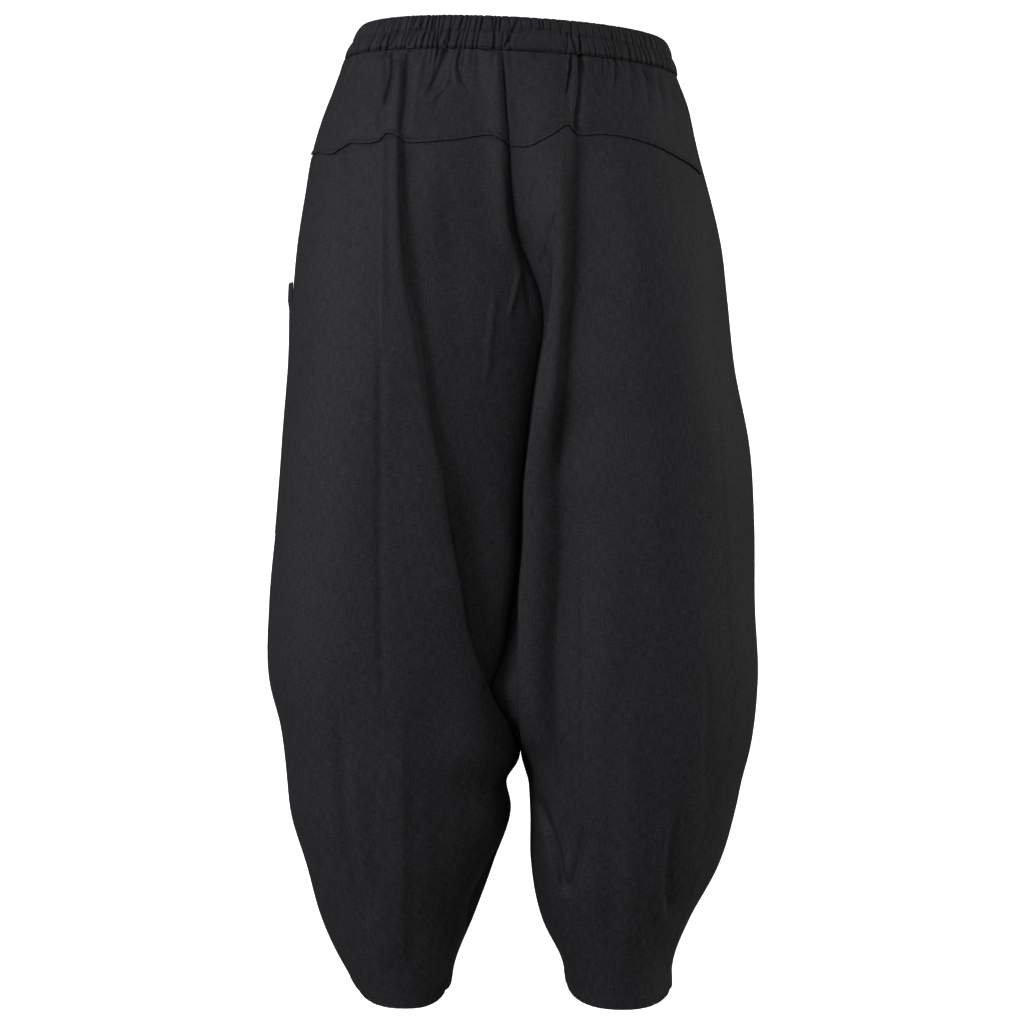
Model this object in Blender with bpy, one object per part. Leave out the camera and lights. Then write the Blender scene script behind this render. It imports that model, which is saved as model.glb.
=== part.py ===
"""Wide-leg trousers with a very low crotch, hollow and filled out as if worn.

Every cut piece of cloth is one closed wall: waistband, two back yokes, two back legs,
two front legs and a patch pocket. All of them are read from the same two leg forms,
so neighbours follow each other and stay a seam gap apart.

Frame: +Z up, the back of the garment faces -Y, and the wearer's left is at -X.
The origin is the middle of the waist, halfway up the waistband.
Tables are in millimetres; the meshes are in metres.
"""
import bmesh
import bpy
import numpy as np

MM = 0.001

# Driving sizes, millimetres.
CLOTH = 1.2
SEAM_GAP = 0.3
BAND_WALL = 3.0
BAND_HEIGHT = 30.0
BAND_STAND = 0.6
BAND_TILT = 0.05
CHANNEL_PUFF = 1.6
YOKE_LEVEL = -100.0
CROTCH_HEIGHT = -659.0
HEM_LEVEL = -890.0
HEM_ROUND = 0.98
CLOSING_DROP = 34.0
LIP_CROWD = 1.5
BAND_BLEND = 42.0
BAND_INSET = 0.3
POCKET_SIDE = "left"
POCKET_TOP = -240.0
POCKET_BOTTOM = -450.0
POCKET_COLUMNS = 7
POCKET_GAPE = 4.5
POCKET_SLACK = 0.3
LEVEL_STEP = 4.0
TOP_LEVEL = 24.0
LOW_LEVEL = -900.0

# Below the crotch the leg is a closed tube: where the inner corner starts and ends, as parts of
# the half turn from the side, and the part of a broad crease's length over which each end fades.
INNER_CORNER = (0.89, 0.80)
CREASE_FADE = 0.3

# How many facets the cloth gets.
YOKE_ROWS = 5
THIGH_ROWS = 14
SHIN_ROWS = 7
BACK_COLUMNS = (5, 2, 12)
FRONT_COLUMNS = (11, 2, 4)
BAND_SEGMENTS = 48

# The rounded tube of each leg by height. "outer" and "inner" are its widest points, "crown"
# the point that stands farthest back and front, "seam" the turn of the side seam towards the
# back in degrees, and "corner" how square the side between the legs is, 2 being an ellipse.
# Above the crotch "inner" lies beyond the middle, where the legs run together.
TUBE_COLUMNS = ("height", "outer", "crown", "inner", "seam", "corner")
LEFT_TUBE = (
    (16, -142, 0, 145, 8, 2.2),
    (-16, -158, -4, 150, 8, 2.2),
    (-45, -172, -16, 150, 9, 2.25),
    (-97, -189, -38, 135, 10, 2.3),
    (-140, -196, -58, 116, 11, 2.3),
    (-188, -203, -77, 92, 13, 2.35),
    (-235, -207, -92, 68, 14, 2.35),
    (-300, -210, -105, 45, 15, 2.35),
    (-375, -216, -112, 26, 16, 2.35),
    (-444, -222, -115, 17, 15, 2.35),
    (-520, -229, -116, 12, 12, 2.5),
    (-596, -229, -117, 10, 12, 2.7),
    (-638, -219, -112, 9, 12, 2.9),
    (-659, -216, -108, 8, 12, 3.0),
    (-688, -213, -106, -5, 12, 3.1),
    (-716, -210, -105, -1, 12, 3.1),
    (-767, -195, -104, -17, 11, 3.0),
    (-821, -179, -106, -37, 9, 2.6),
    (-860, -162, -106, -53, 7, 2.3),
    (-900, -139, -101, -61, 6, 2.1),
)
RIGHT_TUBE = (
    (16, 145, 0, -145, 9, 2.2),
    (-16, 156, 4, -150, 12, 2.2),
    (-45, 165, 16, -150, 15, 2.25),
    (-97, 177, 38, -135, 20, 2.4),
    (-140, 188, 58, -108, 24, 2.6),
    (-188, 198, 77, -72, 29, 2.8),
    (-235, 203, 92, -45, 34, 3.0),
    (-300, 210, 105, -40, 41, 3.2),
    (-375, 225, 111, -40, 48, 3.4),
    (-444, 229, 114, -38, 48, 3.5),
    (-520, 230, 116, -34, 46, 3.5),
    (-596, 233, 117, -26, 44, 3.5),
    (-638, 229, 116, -6, 43, 3.4),
    (-659, 225, 115, 9, 43, 3.4),
    (-688, 217, 114, 15, 45, 3.3),
    (-716, 211, 112, 17, 48, 3.2),
    (-767, 197, 106, 18, 46, 2.9),
    (-821, 168, 100, 29, 36, 2.5),
    (-860, 153, 99, 47, 28, 2.3),
    (-900, 151, 101, 54, 20, 2.1),
)

# Depth of both legs by height: how far the back and front stand from the side line, and how
# square the outer side of the tube is.
DEPTH_COLUMNS = ("height", "back", "front", "square")
DEPTH = (
    (16, 102, 102, 2.2),
    (-16, 106, 105, 2.2),
    (-45, 112, 108, 2.25),
    (-97, 121, 113, 2.3),
    (-140, 128, 116, 2.35),
    (-188, 131, 118, 2.4),
    (-300, 132, 120, 2.4),
    (-444, 129, 122, 2.35),
    (-596, 124, 124, 2.3),
    (-659, 120, 122, 2.3),
    (-716, 113, 114, 2.25),
    (-767, 103, 102, 2.2),
    (-821, 88, 86, 2.1),
    (-860, 78, 76, 2.0),
    (-900, 70, 69, 2.0),
)

# The centre seams, where the left and right cloth meet, down to the crotch.
VALLEY_COLUMNS = ("height", "across", "depth")
BACK_VALLEY = (
    (16, -8, -101),
    (-16, -8, -102),
    (-60, -6, -107),
    (-97, -3, -112),
    (-153, 0, -111),
    (-190, 6, -106),
    (-214, 16, -103),
    (-240, 26, -100),
    (-274, 28, -97),
    (-300, 23, -94),
    (-360, 14, -86),
    (-400, 10, -78),
    (-435, 7, -70),
    (-500, 3, -60),
    (-530, -2, -58),
    (-553, -5, -58),
    (-583, -13, -60),
    (-597, -19, -61),
    (-612, -16, -58),
    (-630, -8, -45),
    (-648, 2, -20),
    (-659, 8, 0),
)
FRONT_VALLEY = (
    (16, 0, 102),
    (-16, 0, 104),
    (-97, 0, 111),
    (-200, -2, 110),
    (-300, -3, 98),
    (-400, -2, 79),
    (-500, 0, 56),
    (-600, 4, 26),
    (-630, 6, 13),
    (-659, 8, 0),
)

# The long folds beside the centre seams, by height: "edge" is where the leg's cloth turns in,
# "beyond" how far its foot lies towards the centre (under the edge when negative), "step" the
# foot's depth as a part of the way from the edge to the centre seam, "lip" how far the cloth
# between the foot and the centre seam bulges out, and "lip_at" the part of the way from the
# seam at which it bulges most.
FOLD_COLUMNS = ("height", "edge", "beyond", "step", "lip", "lip_at")
BACK_LEFT_FOLD = (
    (16, -100, 10, 0.02, 3, 0.14),
    (-97, -104, 10, 0.10, 4, 0.10),
    (-170, -100, 9, 0.14, 6, 0.09),
    (-200, -97, 7, 0.16, 8, 0.16),
    (-245, -87, 5, 0.18, 10, 0.26),
    (-300, -79, 1, 0.20, 11, 0.28),
    (-358, -72, -3, 0.20, 15, 0.24),
    (-400, -66, -4, 0.20, 18, 0.18),
    (-435, -62, -5, 0.22, 21, 0.14),
    (-489, -52, -6, 0.26, 24, 0.11),
    (-551, -37, -6, 0.36, 18, 0.14),
    (-590, -22, -4, 0.50, 6, 0.20),
    (-604, -17, -3, 0.55, 3, 0.20),
    (-640, 0, -3, 0.60, 2, 0.14),
    (-659, 4, -1, 0.62, 2, 0.14),
)
BACK_RIGHT_FOLD = (
    (16, 34, 10, 0.05, 2, 0.14),
    (-97, 36, 10, 0.15, 2, 0.14),
    (-150, 37, 9, 0.22, 2, 0.14),
    (-197, 37, 7, 0.32, 2, 0.14),
    (-214, 37, 3, 0.40, 2, 0.14),
    (-231, 36, 1, 0.50, 2, 0.14),
    (-274, 31, 0, 0.70, 2, 0.14),
    (-299, 26, -1, 0.75, 1, 0.14),
    (-359, 17, -1, 0.75, 1, 0.14),
    (-409, 11, -1, 0.75, 2, 0.14),
    (-466, 10, -1, 0.75, 2, 0.14),
    (-510, 6, -1, 0.70, 2, 0.14),
    (-551, 5, -2, 0.60, 2, 0.14),
    (-580, 4, -2, 0.40, 4, 0.20),
    (-604, 5, -1, 0.32, 8, 0.20),
    (-630, 7, 0, 0.36, 8, 0.20),
    (-648, 9, 0, 0.50, 4, 0.20),
    (-659, 11, 0, 0.65, 2, 0.14),
)
FRONT_LEFT_FOLD = (
    (16, -58, 12, 0.05, 2, 0.14),
    (-97, -60, 12, 0.10, 2, 0.14),
    (-200, -60, 11, 0.16, 3, 0.14),
    (-300, -55, 8, 0.24, 6, 0.14),
    (-400, -47, 5, 0.34, 9, 0.14),
    (-500, -34, 3, 0.44, 10, 0.14),
    (-600, -12, 1, 0.55, 6, 0.14),
    (-659, 3, 0, 0.62, 2, 0.14),
)
FRONT_RIGHT_FOLD = (
    (16, 64, 12, 0.05, 2, 0.14),
    (-97, 66, 12, 0.12, 2, 0.14),
    (-200, 62, 10, 0.20, 2, 0.14),
    (-300, 51, 6, 0.32, 2, 0.14),
    (-400, 38, 2, 0.42, 2, 0.14),
    (-500, 25, 0, 0.50, 2, 0.14),
    (-600, 12, 0, 0.58, 2, 0.14),
    (-659, 12, 0, 0.62, 2, 0.14),
)

# Broad creases on the cloth. "face" is -1 on the back and 1 on the front; the crease runs from
# (across_top, top) to (across_low, low), and "rise" is its height, negative for a trough.
CREASE_COLUMNS = ("face", "across_top", "top", "across_low", "low", "width", "rise")
CREASES = (
    (-1, -106, -20, -108, -150, 9, -3.0),
    (-1, -62, -20, -66, -95, 9, -3.0),
    (-1, -118, -150, -118, -520, 11, -2.0),
    (-1, -78, -550, -52, -830, 17, -5.0),
    (-1, -144, -560, -128, -830, 16, 3.0),
    (-1, -164, -640, -146, -830, 12, -3.0),
    (-1, 59, -20, 60, -110, 8, -4.0),
    (-1, 60, -95, 58, -250, 9, -4.0),
    (-1, 62, -200, 54, -400, 14, -6.0),
    (-1, 50, -320, 43, -720, 15, -8.0),
    (-1, 96, -20, 104, -95, 10, -3.0),
    (-1, 148, -480, 156, -650, 13, -3.0),
    (-1, 150, -690, 143, -830, 9, 4.0),
    (1, -104, -20, -110, -230, 12, -3.0),
    (1, -150, -60, -160, -380, 12, -2.5),
    (1, 108, -20, 118, -260, 12, -3.0),
    (1, 40, -30, 34, -190, 10, -3.0),
    (1, -118, -420, -110, -760, 14, -3.5),
    (1, 112, -380, 104, -760, 14, -3.5),
    (1, -70, -560, -92, -780, 12, 3.5),
    (1, 60, -600, 82, -790, 12, 3.5),
)

# The yoke seam across the back, and each hem's lowest point with its rise to both sides.
YOKE_SEAM_COLUMNS = ("across", "height")
YOKE_SEAM = (
    (-200, -99),
    (-178, -103),
    (-167, -107),
    (-160, -106),
    (-153, -102),
    (-149, -99.5),
    (-138, -100.5),
    (-127, -100.5),
    (-120, -98.5),
    (-115, -93),
    (-108, -93),
    (-98, -99),
    (-83, -100.5),
    (-47, -98.5),
    (-29, -95.5),
    (-18, -95),
    (-11, -98),
    (-4, -103.5),
    (7, -105.5),
    (18, -104.5),
    (27, -100),
    (37, -95),
    (46, -88.5),
    (52, -87),
    (57, -91.5),
    (62, -93),
    (81, -93),
    (104, -96),
    (122, -100),
    (142, -106.5),
    (162, -115.5),
    (175, -123),
    (190, -131),
)
HEM_COLUMNS = ("low_at", "low", "reach_out", "rise_out", "reach_in", "rise_in")
HEMS = {
    "left": (-97, -894, 46, 13, 34, 14),
    "right": (102, -895, 46, 14, 50, 18),
}

SIDES = {
    "left": (LEFT_TUBE, BACK_LEFT_FOLD, FRONT_LEFT_FOLD, -1),
    "right": (RIGHT_TUBE, BACK_RIGHT_FOLD, FRONT_RIGHT_FOLD, 1),
}

WOVEN_COLOUR = (0.026, 0.026, 0.028, 1.0)
BAND_COLOUR = (0.022, 0.022, 0.024, 1.0)
WOVEN_ROUGHNESS = 0.72


def remove_scene_objects():
    """Empty the scene that the file opens with."""
    for thing in list(bpy.data.objects):
        bpy.data.objects.remove(thing, do_unlink=True)


def column(columns, rows, name):
    """One named column of a table."""
    place = columns.index(name)
    return np.array([row[place] for row in rows], dtype=float)


def smooth_through(knots, values, wanted):
    """Cubic curve through the knots, with the slope at each from its neighbours."""
    order = np.argsort(knots)
    knots = knots[order]
    values = values[order]
    steps = np.diff(knots)
    slopes = np.diff(values) / steps
    inner = (slopes[:-1] * steps[1:] + slopes[1:] * steps[:-1]) / (steps[1:] + steps[:-1])
    tangents = np.concatenate(([slopes[0]], inner, [slopes[-1]]))
    wanted = np.clip(wanted, knots[0], knots[-1])
    piece = np.clip(np.searchsorted(knots, wanted, side="right") - 1, 0, len(steps) - 1)
    width = steps[piece]
    t = (wanted - knots[piece]) / width
    start = values[piece] * (2 * t ** 3 - 3 * t ** 2 + 1) + values[piece + 1] * (3 * t ** 2 - 2 * t ** 3)
    bend = tangents[piece] * (t ** 3 - 2 * t ** 2 + t) + tangents[piece + 1] * (t ** 3 - t ** 2)
    return start + bend * width


def read(columns, rows, name, wanted):
    """A named column, read smoothly at the wanted places along the first column."""
    return smooth_through(column(columns, rows, columns[0]), column(columns, rows, name), wanted)


def ease(value):
    """Smooth step from 0 to 1."""
    value = np.clip(value, 0.0, 1.0)
    return value * value * (3.0 - 2.0 * value)


def tube_point(tube, level, turn):
    """Point of a leg's rounded tube; the turn is 0 at the side and 90 degrees at the back."""
    cosine = np.cos(turn)
    sine = np.sin(turn)
    power = 2.0 / np.where(cosine >= 0.0, tube["square"][level], tube["corner"][level])
    reach = np.where(cosine >= 0.0, tube["outer"][level], tube["inner"][level]) - tube["crown"][level]
    depth = np.where(sine >= 0.0, -tube["back"][level], tube["front"][level])
    across = tube["crown"][level] + reach * np.abs(cosine) ** power
    return np.stack((across, depth * np.abs(sine) ** power), axis=-1)


def spread(points, count):
    """The same line again, as count even steps along its length."""
    lengths = np.concatenate(([0.0], np.cumsum(np.linalg.norm(np.diff(points, axis=0), axis=1))))
    even = np.linspace(0.0, lengths[-1], count + 1)
    return np.stack([np.interp(even, lengths, points[:, axis]) for axis in range(2)], axis=1)


def bent_line(start, end, bulge, peak, count):
    """A line between two points that bulges along Y, most at the peak's part of the way."""
    t = np.linspace(0.0, 1.0, count + 1)[:, None] ** LIP_CROWD
    line = start * (1.0 - t) + end * t
    skew = np.log(0.5) / np.log(peak)
    line[:, 1] += bulge * np.sin(np.pi * t ** skew)[:, 0]
    return line


def half_section(tube, valley, fold, level, face, counts, closed):
    """One face of a leg at one level, from the centre seam to the side seam.

    Above the crotch it runs from the centre seam to the foot of the long fold, over its edge
    and round the tube. Below, the tube is closed and the line starts at the inseam.
    """
    side_turn = np.radians(tube["seam"][level])
    centre_turn = -face * np.pi
    offset = fold["edge"][level] - tube["crown"][level]
    share_out = offset / (tube["outer"][level] - tube["crown"][level])
    share_in = offset / (tube["inner"][level] - tube["crown"][level])
    outwards = max(share_out, 0.0) ** (tube["square"][level] / 2.0)
    cosine = outwards - min(max(share_in, 0.0), 0.99) ** (tube["corner"][level] / 2.0)
    edge_turn = -face * np.arccos(cosine)
    edge = tube_point(tube, level, edge_turn)
    seam = np.array((valley["across"][level], valley["depth"][level]))
    towards_centre = np.sign(tube["inner"][level] - tube["outer"][level])
    foot = np.array((
        edge[0] + towards_centre * fold["beyond"][level],
        edge[1] + fold["step"][level] * (seam[1] - edge[1]),
    ))
    foot_turn = centre_turn * INNER_CORNER[0]
    round_turn = centre_turn * INNER_CORNER[1]
    from_turn = edge_turn * (1.0 - closed) + round_turn * closed
    rounded = spread(tube_point(tube, level, np.linspace(from_turn, side_turn, 90)), counts[2])
    lip = bent_line(seam, foot, face * fold["lip"][level], fold["lip_at"][level], counts[0])
    wall = bent_line(foot, edge, 0.0, 0.5, counts[1])
    inside = spread(tube_point(tube, level, np.linspace(centre_turn, foot_turn, 40)), counts[0])
    corner = spread(tube_point(tube, level, np.linspace(foot_turn, round_turn, 40)), counts[1])
    lip = lip * (1.0 - closed) + inside * closed
    wall = wall * (1.0 - closed) + corner * closed
    return np.concatenate((lip, wall[1:-1], rounded))


def leg_form(side, levels):
    """All sections of one leg: levels by columns by (x, y), back centre to front centre."""
    tube_rows, back_rows, front_rows, _ = SIDES[side]
    tube = {name: read(TUBE_COLUMNS, tube_rows, name, levels) for name in TUBE_COLUMNS[1:]}
    tube.update({name: read(DEPTH_COLUMNS, DEPTH, name, levels) for name in DEPTH_COLUMNS[1:]})
    faces = {}
    for face, fold_rows, valley_rows in ((-1, back_rows, BACK_VALLEY), (1, front_rows, FRONT_VALLEY)):
        faces[face] = (
            {name: read(VALLEY_COLUMNS, valley_rows, name, levels) for name in VALLEY_COLUMNS[1:]},
            {name: read(FOLD_COLUMNS, fold_rows, name, levels) for name in FOLD_COLUMNS[1:]},
        )
    closing = ease((CROTCH_HEIGHT - levels) / CLOSING_DROP)
    sections = []
    for level in range(len(levels)):
        back = half_section(tube, *faces[-1], level, -1, BACK_COLUMNS, closing[level])
        front = half_section(tube, *faces[1], level, 1, FRONT_COLUMNS[::-1], closing[level])
        sections.append(np.concatenate((back, front[::-1][1:])))
    return np.array(sections)


def hem_height(side, across):
    """Height of a leg's bottom edge: lowest behind the middle, rising to both sides."""
    hem = dict(zip(HEM_COLUMNS, HEMS[side]))
    offset = (across - hem["low_at"]) * SIDES[side][3]
    reach = np.where(offset > 0.0, hem["reach_out"], hem["reach_in"])
    rise = np.where(offset > 0.0, hem["rise_out"], hem["rise_in"])
    share = np.clip(np.abs(offset) / reach, 0.0, 1.0)
    return hem["low"] + rise * (1.0 - np.sqrt(1.0 - HEM_ROUND * share ** 2))


def grid_heights(side, levels, form):
    """Height of each grid point: rows follow the waist, the yoke seam, the crotch and the hem."""
    columns = form.shape[1]
    waist = np.full(columns, -BAND_HEIGHT / 2)
    yoke = np.full(columns, YOKE_LEVEL)
    low = np.full(columns, HEM_LEVEL)
    crotch = np.full(columns, CROTCH_HEIGHT)
    for _ in range(3):
        across = sample(levels, form, np.array((waist, yoke, low)))[..., 0]
        waist = band_middle(across[0]) - BAND_HEIGHT / 2 - SEAM_GAP
        yoke = read(YOKE_SEAM_COLUMNS, YOKE_SEAM, "height", across[1])
        low = hem_height(side, across[2])
    rows = [waist + (yoke - waist) * row / YOKE_ROWS for row in range(YOKE_ROWS)]
    rows += [yoke + (crotch - yoke) * row / THIGH_ROWS for row in range(THIGH_ROWS)]
    rows += [crotch + (low - crotch) * row / SHIN_ROWS for row in range(SHIN_ROWS + 1)]
    return np.array(rows)


def band_middle(across):
    """Height of the waistband's middle: the wearer's left side sits a little higher."""
    return -BAND_TILT * across


def sample(levels, form, heights):
    """Read the form column by column at the wanted heights."""
    grid = np.empty(heights.shape + (3,))
    for place in range(heights.shape[1]):
        grid[:, place, 0] = np.interp(-heights[:, place], -levels, form[:, place, 0])
        grid[:, place, 1] = np.interp(-heights[:, place], -levels, form[:, place, 1])
    grid[..., 2] = heights
    return grid


def normals_of(grid, outwards):
    """Unit normals of a grid of points, pointing away from the hollow."""
    along = np.gradient(grid, axis=1)
    down = np.gradient(grid, axis=0)
    normals = np.cross(along, down) * -outwards
    return normals / np.linalg.norm(normals, axis=2, keepdims=True)


def crease_height(grid, face_of_column):
    """How far the broad creases lift or sink each point of the grid."""
    lift = np.zeros(grid.shape[:2])
    for row in CREASES:
        crease = dict(zip(CREASE_COLUMNS, row))
        length = crease["top"] - crease["low"]
        t = (crease["top"] - grid[..., 2]) / length
        line = crease["across_top"] + (crease["across_low"] - crease["across_top"]) * t
        ends = ease(t / CREASE_FADE) * ease((1.0 - t) / CREASE_FADE)
        shape = np.exp(-((grid[..., 0] - line) / crease["width"]) ** 2)
        lift += crease["rise"] * ends * shape * (face_of_column == crease["face"])
    return lift


def spread_to_band(grid):
    """Scale that brings the cloth's top edge out to the waistband that it hangs from."""
    height = np.array([-BAND_HEIGHT / 2])
    depth = {name: read(DEPTH_COLUMNS, DEPTH, name, height)[0] for name in DEPTH_COLUMNS[1:]}
    left = -read(TUBE_COLUMNS, LEFT_TUBE, "outer", height)[0]
    right = read(TUBE_COLUMNS, RIGHT_TUBE, "outer", height)[0]
    reach = np.where(grid[0, :, 0] >= 0.0, right, left)
    thick = np.where(grid[0, :, 1] >= 0.0, depth["front"], depth["back"])
    square = depth["square"]
    size = np.abs(grid[0, :, 0] / reach) ** square + np.abs(grid[0, :, 1] / thick) ** square
    scale = size ** (-1.0 / square) * (1.0 - BAND_INSET / depth["back"])
    down = grid[0, :, 2] - grid[..., 2]
    return 1.0 + (scale - 1.0) * ease(1.0 - down / BAND_BLEND)


def leg_grid(side):
    """Outer face of one whole leg with its normals, rows by columns, from waist to hem."""
    levels = np.arange(TOP_LEVEL, LOW_LEVEL - LEVEL_STEP, -LEVEL_STEP)
    form = leg_form(side, levels)
    outwards = SIDES[side][3]
    grid = sample(levels, form, grid_heights(side, levels, form))
    grid[..., :2] *= spread_to_band(grid)[..., None]
    normals = normals_of(grid, outwards)
    seam_column = sum(BACK_COLUMNS)
    faces = np.where(np.arange(grid.shape[1]) <= seam_column, -1, 1)[None, :]
    grid = grid + normals * crease_height(grid, faces)[..., None]
    return grid, normals_of(grid, outwards)


def cut_panel(grid, side, start, stop, back):
    """Cut a panel out of a leg's grid, half a seam gap short of its neighbours."""
    panel = grid[:, start:stop + 1].copy()
    half = SEAM_GAP / 2
    centre, seam, beside_seam = (0, -1, -2) if back else (-1, 0, 1)
    inwards = panel[:, beside_seam] - panel[:, seam]
    inwards /= np.linalg.norm(inwards, axis=1, keepdims=True)
    panel[:, seam] += inwards * half
    panel[:, centre, 0] += SIDES[side][3] * half
    panel[:, centre, 1] += -half if back else half
    return panel


def inner_face(outer, normals, back):
    """Inner face of a panel's wall, kept on its own side of the inseam."""
    inner = outer - normals * CLOTH
    half = SEAM_GAP / 2
    if back:
        inner[..., 1] = np.minimum(inner[..., 1], -half)
    else:
        inner[:, -1, 1] = np.maximum(inner[:, -1, 1], half)
    return inner


def solid_from_walls(name, outer, inner, material, flip, closed_round=False):
    """One closed mesh object from an outer and an inner grid of points."""
    rows, columns = outer.shape[:2]
    mesh_edit = bmesh.new()
    sheets = []
    for sheet in (outer, inner):
        sheets.append([[mesh_edit.verts.new(point * MM) for point in row] for row in sheet])
    last = columns if closed_round else columns - 1
    for row in range(rows - 1):
        for place in range(last):
            beyond = (place + 1) % columns
            for sheet, turned in ((sheets[0], flip), (sheets[1], not flip)):
                above = sheet[row]
                below = sheet[row + 1]
                corners = [above[place], below[place], below[beyond], above[beyond]]
                mesh_edit.faces.new(corners[::-1] if turned else corners)
    rim = []
    for place in range(last):
        beyond = (place + 1) % columns
        rim.append(((0, beyond), (0, place)))
        rim.append(((rows - 1, place), (rows - 1, beyond)))
    if not closed_round:
        for row in range(rows - 1):
            rim.append(((row, 0), (row + 1, 0)))
            rim.append(((row + 1, columns - 1), (row, columns - 1)))
    for start, end in rim:
        corners = [
            sheets[0][start[0]][start[1]],
            sheets[1][start[0]][start[1]],
            sheets[1][end[0]][end[1]],
            sheets[0][end[0]][end[1]],
        ]
        mesh_edit.faces.new(corners[::-1] if flip else corners)
    bmesh.ops.triangulate(mesh_edit, faces=mesh_edit.faces)
    mesh = bpy.data.meshes.new(name)
    mesh_edit.to_mesh(mesh)
    mesh_edit.free()
    mesh.shade_smooth()
    mesh.set_sharp_from_angle(angle=np.radians(60.0))
    mesh.materials.append(material)
    thing = bpy.data.objects.new(name, mesh)
    bpy.context.scene.collection.objects.link(thing)
    return thing


def plain_material(name, colour, roughness):
    """A Principled material in one colour."""
    material = bpy.data.materials.new(name)
    material.use_nodes = True
    shader = material.node_tree.nodes["Principled BSDF"]
    shader.inputs["Base Color"].default_value = colour
    shader.inputs["Roughness"].default_value = roughness
    shader.inputs["Metallic"].default_value = 0.0
    return material


def build_leg(side):
    """Back yoke, back leg, front leg and, on its side, the patch pocket."""
    grid, normals = leg_grid(side)
    flip = SIDES[side][3] < 0
    seam_column = sum(BACK_COLUMNS)
    back = cut_panel(grid, side, 0, seam_column, True)
    back_normals = normals[:, :seam_column + 1]
    front = cut_panel(grid, side, seam_column, grid.shape[1] - 1, False)
    front_normals = normals[:, seam_column:]
    yoke = back[:YOKE_ROWS + 1].copy()
    yoke[-1, :, 2] += SEAM_GAP / 2
    leg = back[YOKE_ROWS:].copy()
    leg[0, :, 2] -= SEAM_GAP / 2
    for name, outer, facing, on_back in (
        ("yoke_back_" + side, yoke, back_normals[:YOKE_ROWS + 1], True),
        ("leg_back_" + side, leg, back_normals[YOKE_ROWS:], True),
        ("leg_front_" + side, front, front_normals, False),
    ):
        material = plain_material(name + "_cloth", WOVEN_COLOUR, WOVEN_ROUGHNESS)
        solid_from_walls(name, outer, inner_face(outer, facing, on_back), material, flip)
    if side == POCKET_SIDE:
        build_pocket(side, front, front_normals, flip)


def build_pocket(side, front, normals, flip):
    """Patch pocket on the front leg beside the side seam, made from the leg's own points."""
    heights = front[:, POCKET_COLUMNS // 2, 2]
    top = int(np.argmin(np.abs(heights - POCKET_TOP)))
    bottom = int(np.argmin(np.abs(heights - POCKET_BOTTOM)))
    under = front[top:bottom + 1, :POCKET_COLUMNS]
    facing = normals[top:bottom + 1, :POCKET_COLUMNS]
    down = np.linspace(0.0, 1.0, bottom - top + 1)[:, None, None]
    across = np.linspace(0.0, 1.0, POCKET_COLUMNS)[None, :, None]
    fullness = POCKET_SLACK * np.sqrt(1.0 - down) + (1.0 - POCKET_SLACK) * (1.0 - down) ** 4
    clear = SEAM_GAP + POCKET_GAPE * fullness * np.sin(np.pi * across) ** 0.7
    inner = under + facing * clear
    outer = inner + facing * CLOTH
    material = plain_material("pocket_" + side + "_cloth", WOVEN_COLOUR, WOVEN_ROUGHNESS)
    solid_from_walls("pocket_" + side, outer, inner, material, flip)


def build_waistband():
    """Elasticated casing: one ring with two soft channels, one above the other."""
    turns = np.linspace(0.0, 2.0 * np.pi, BAND_SEGMENTS, endpoint=False)
    half = BAND_HEIGHT / 2
    profile = ((1.0, 0.0), (0.55, CHANNEL_PUFF), (0.0, 0.0), (-0.5, CHANNEL_PUFF), (-1.0, 0.0))
    outer = []
    inner = []
    for share, puff in profile:
        height = np.array([share * half])
        left = {name: read(TUBE_COLUMNS, LEFT_TUBE, name, height)[0] for name in ("outer", "crown")}
        right = {name: read(TUBE_COLUMNS, RIGHT_TUBE, name, height)[0] for name in ("outer", "crown")}
        depth = {name: read(DEPTH_COLUMNS, DEPTH, name, height)[0] for name in DEPTH_COLUMNS[1:]}
        power = 2.0 / depth["square"]
        cosine = np.cos(turns)
        sine = np.sin(turns)
        reach = np.where(cosine >= 0.0, right["outer"], -left["outer"])
        thickness = np.where(sine >= 0.0, depth["front"], depth["back"])
        across = np.sign(cosine) * reach * np.abs(cosine) ** power
        deep = np.sign(sine) * thickness * np.abs(sine) ** power
        ring = np.stack((across, deep, height[0] + band_middle(across)), axis=1)
        facing = np.stack((cosine / reach, sine / thickness, np.zeros_like(cosine)), axis=1)
        facing /= np.linalg.norm(facing, axis=1, keepdims=True)
        outer.append(ring + facing * (BAND_STAND + puff))
        inner.append(ring + facing * (BAND_STAND - BAND_WALL))
    material = plain_material("waistband_cloth", BAND_COLOUR, WOVEN_ROUGHNESS)
    solid_from_walls("waistband", np.array(outer), np.array(inner), material, False, closed_round=True)


def main():
    """Build the whole garment."""
    remove_scene_objects()
    build_waistband()
    for side in SIDES:
        build_leg(side)


main()
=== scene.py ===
"""Black viscose wide-leg trousers with a very low crotch, hollow and filled out as if worn.

The looks of the part. Every cut piece is a thin shell of woven cloth on the form of its own
solid, with its folds, gathers, seams, hems and stitches. Sizes are in millimetres and meshes in
metres. +Z is up, the back of the garment faces -Y and the wearer's left is at -X.
"""

import logging
import math
from dataclasses import dataclass, field
from enum import Enum

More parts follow.
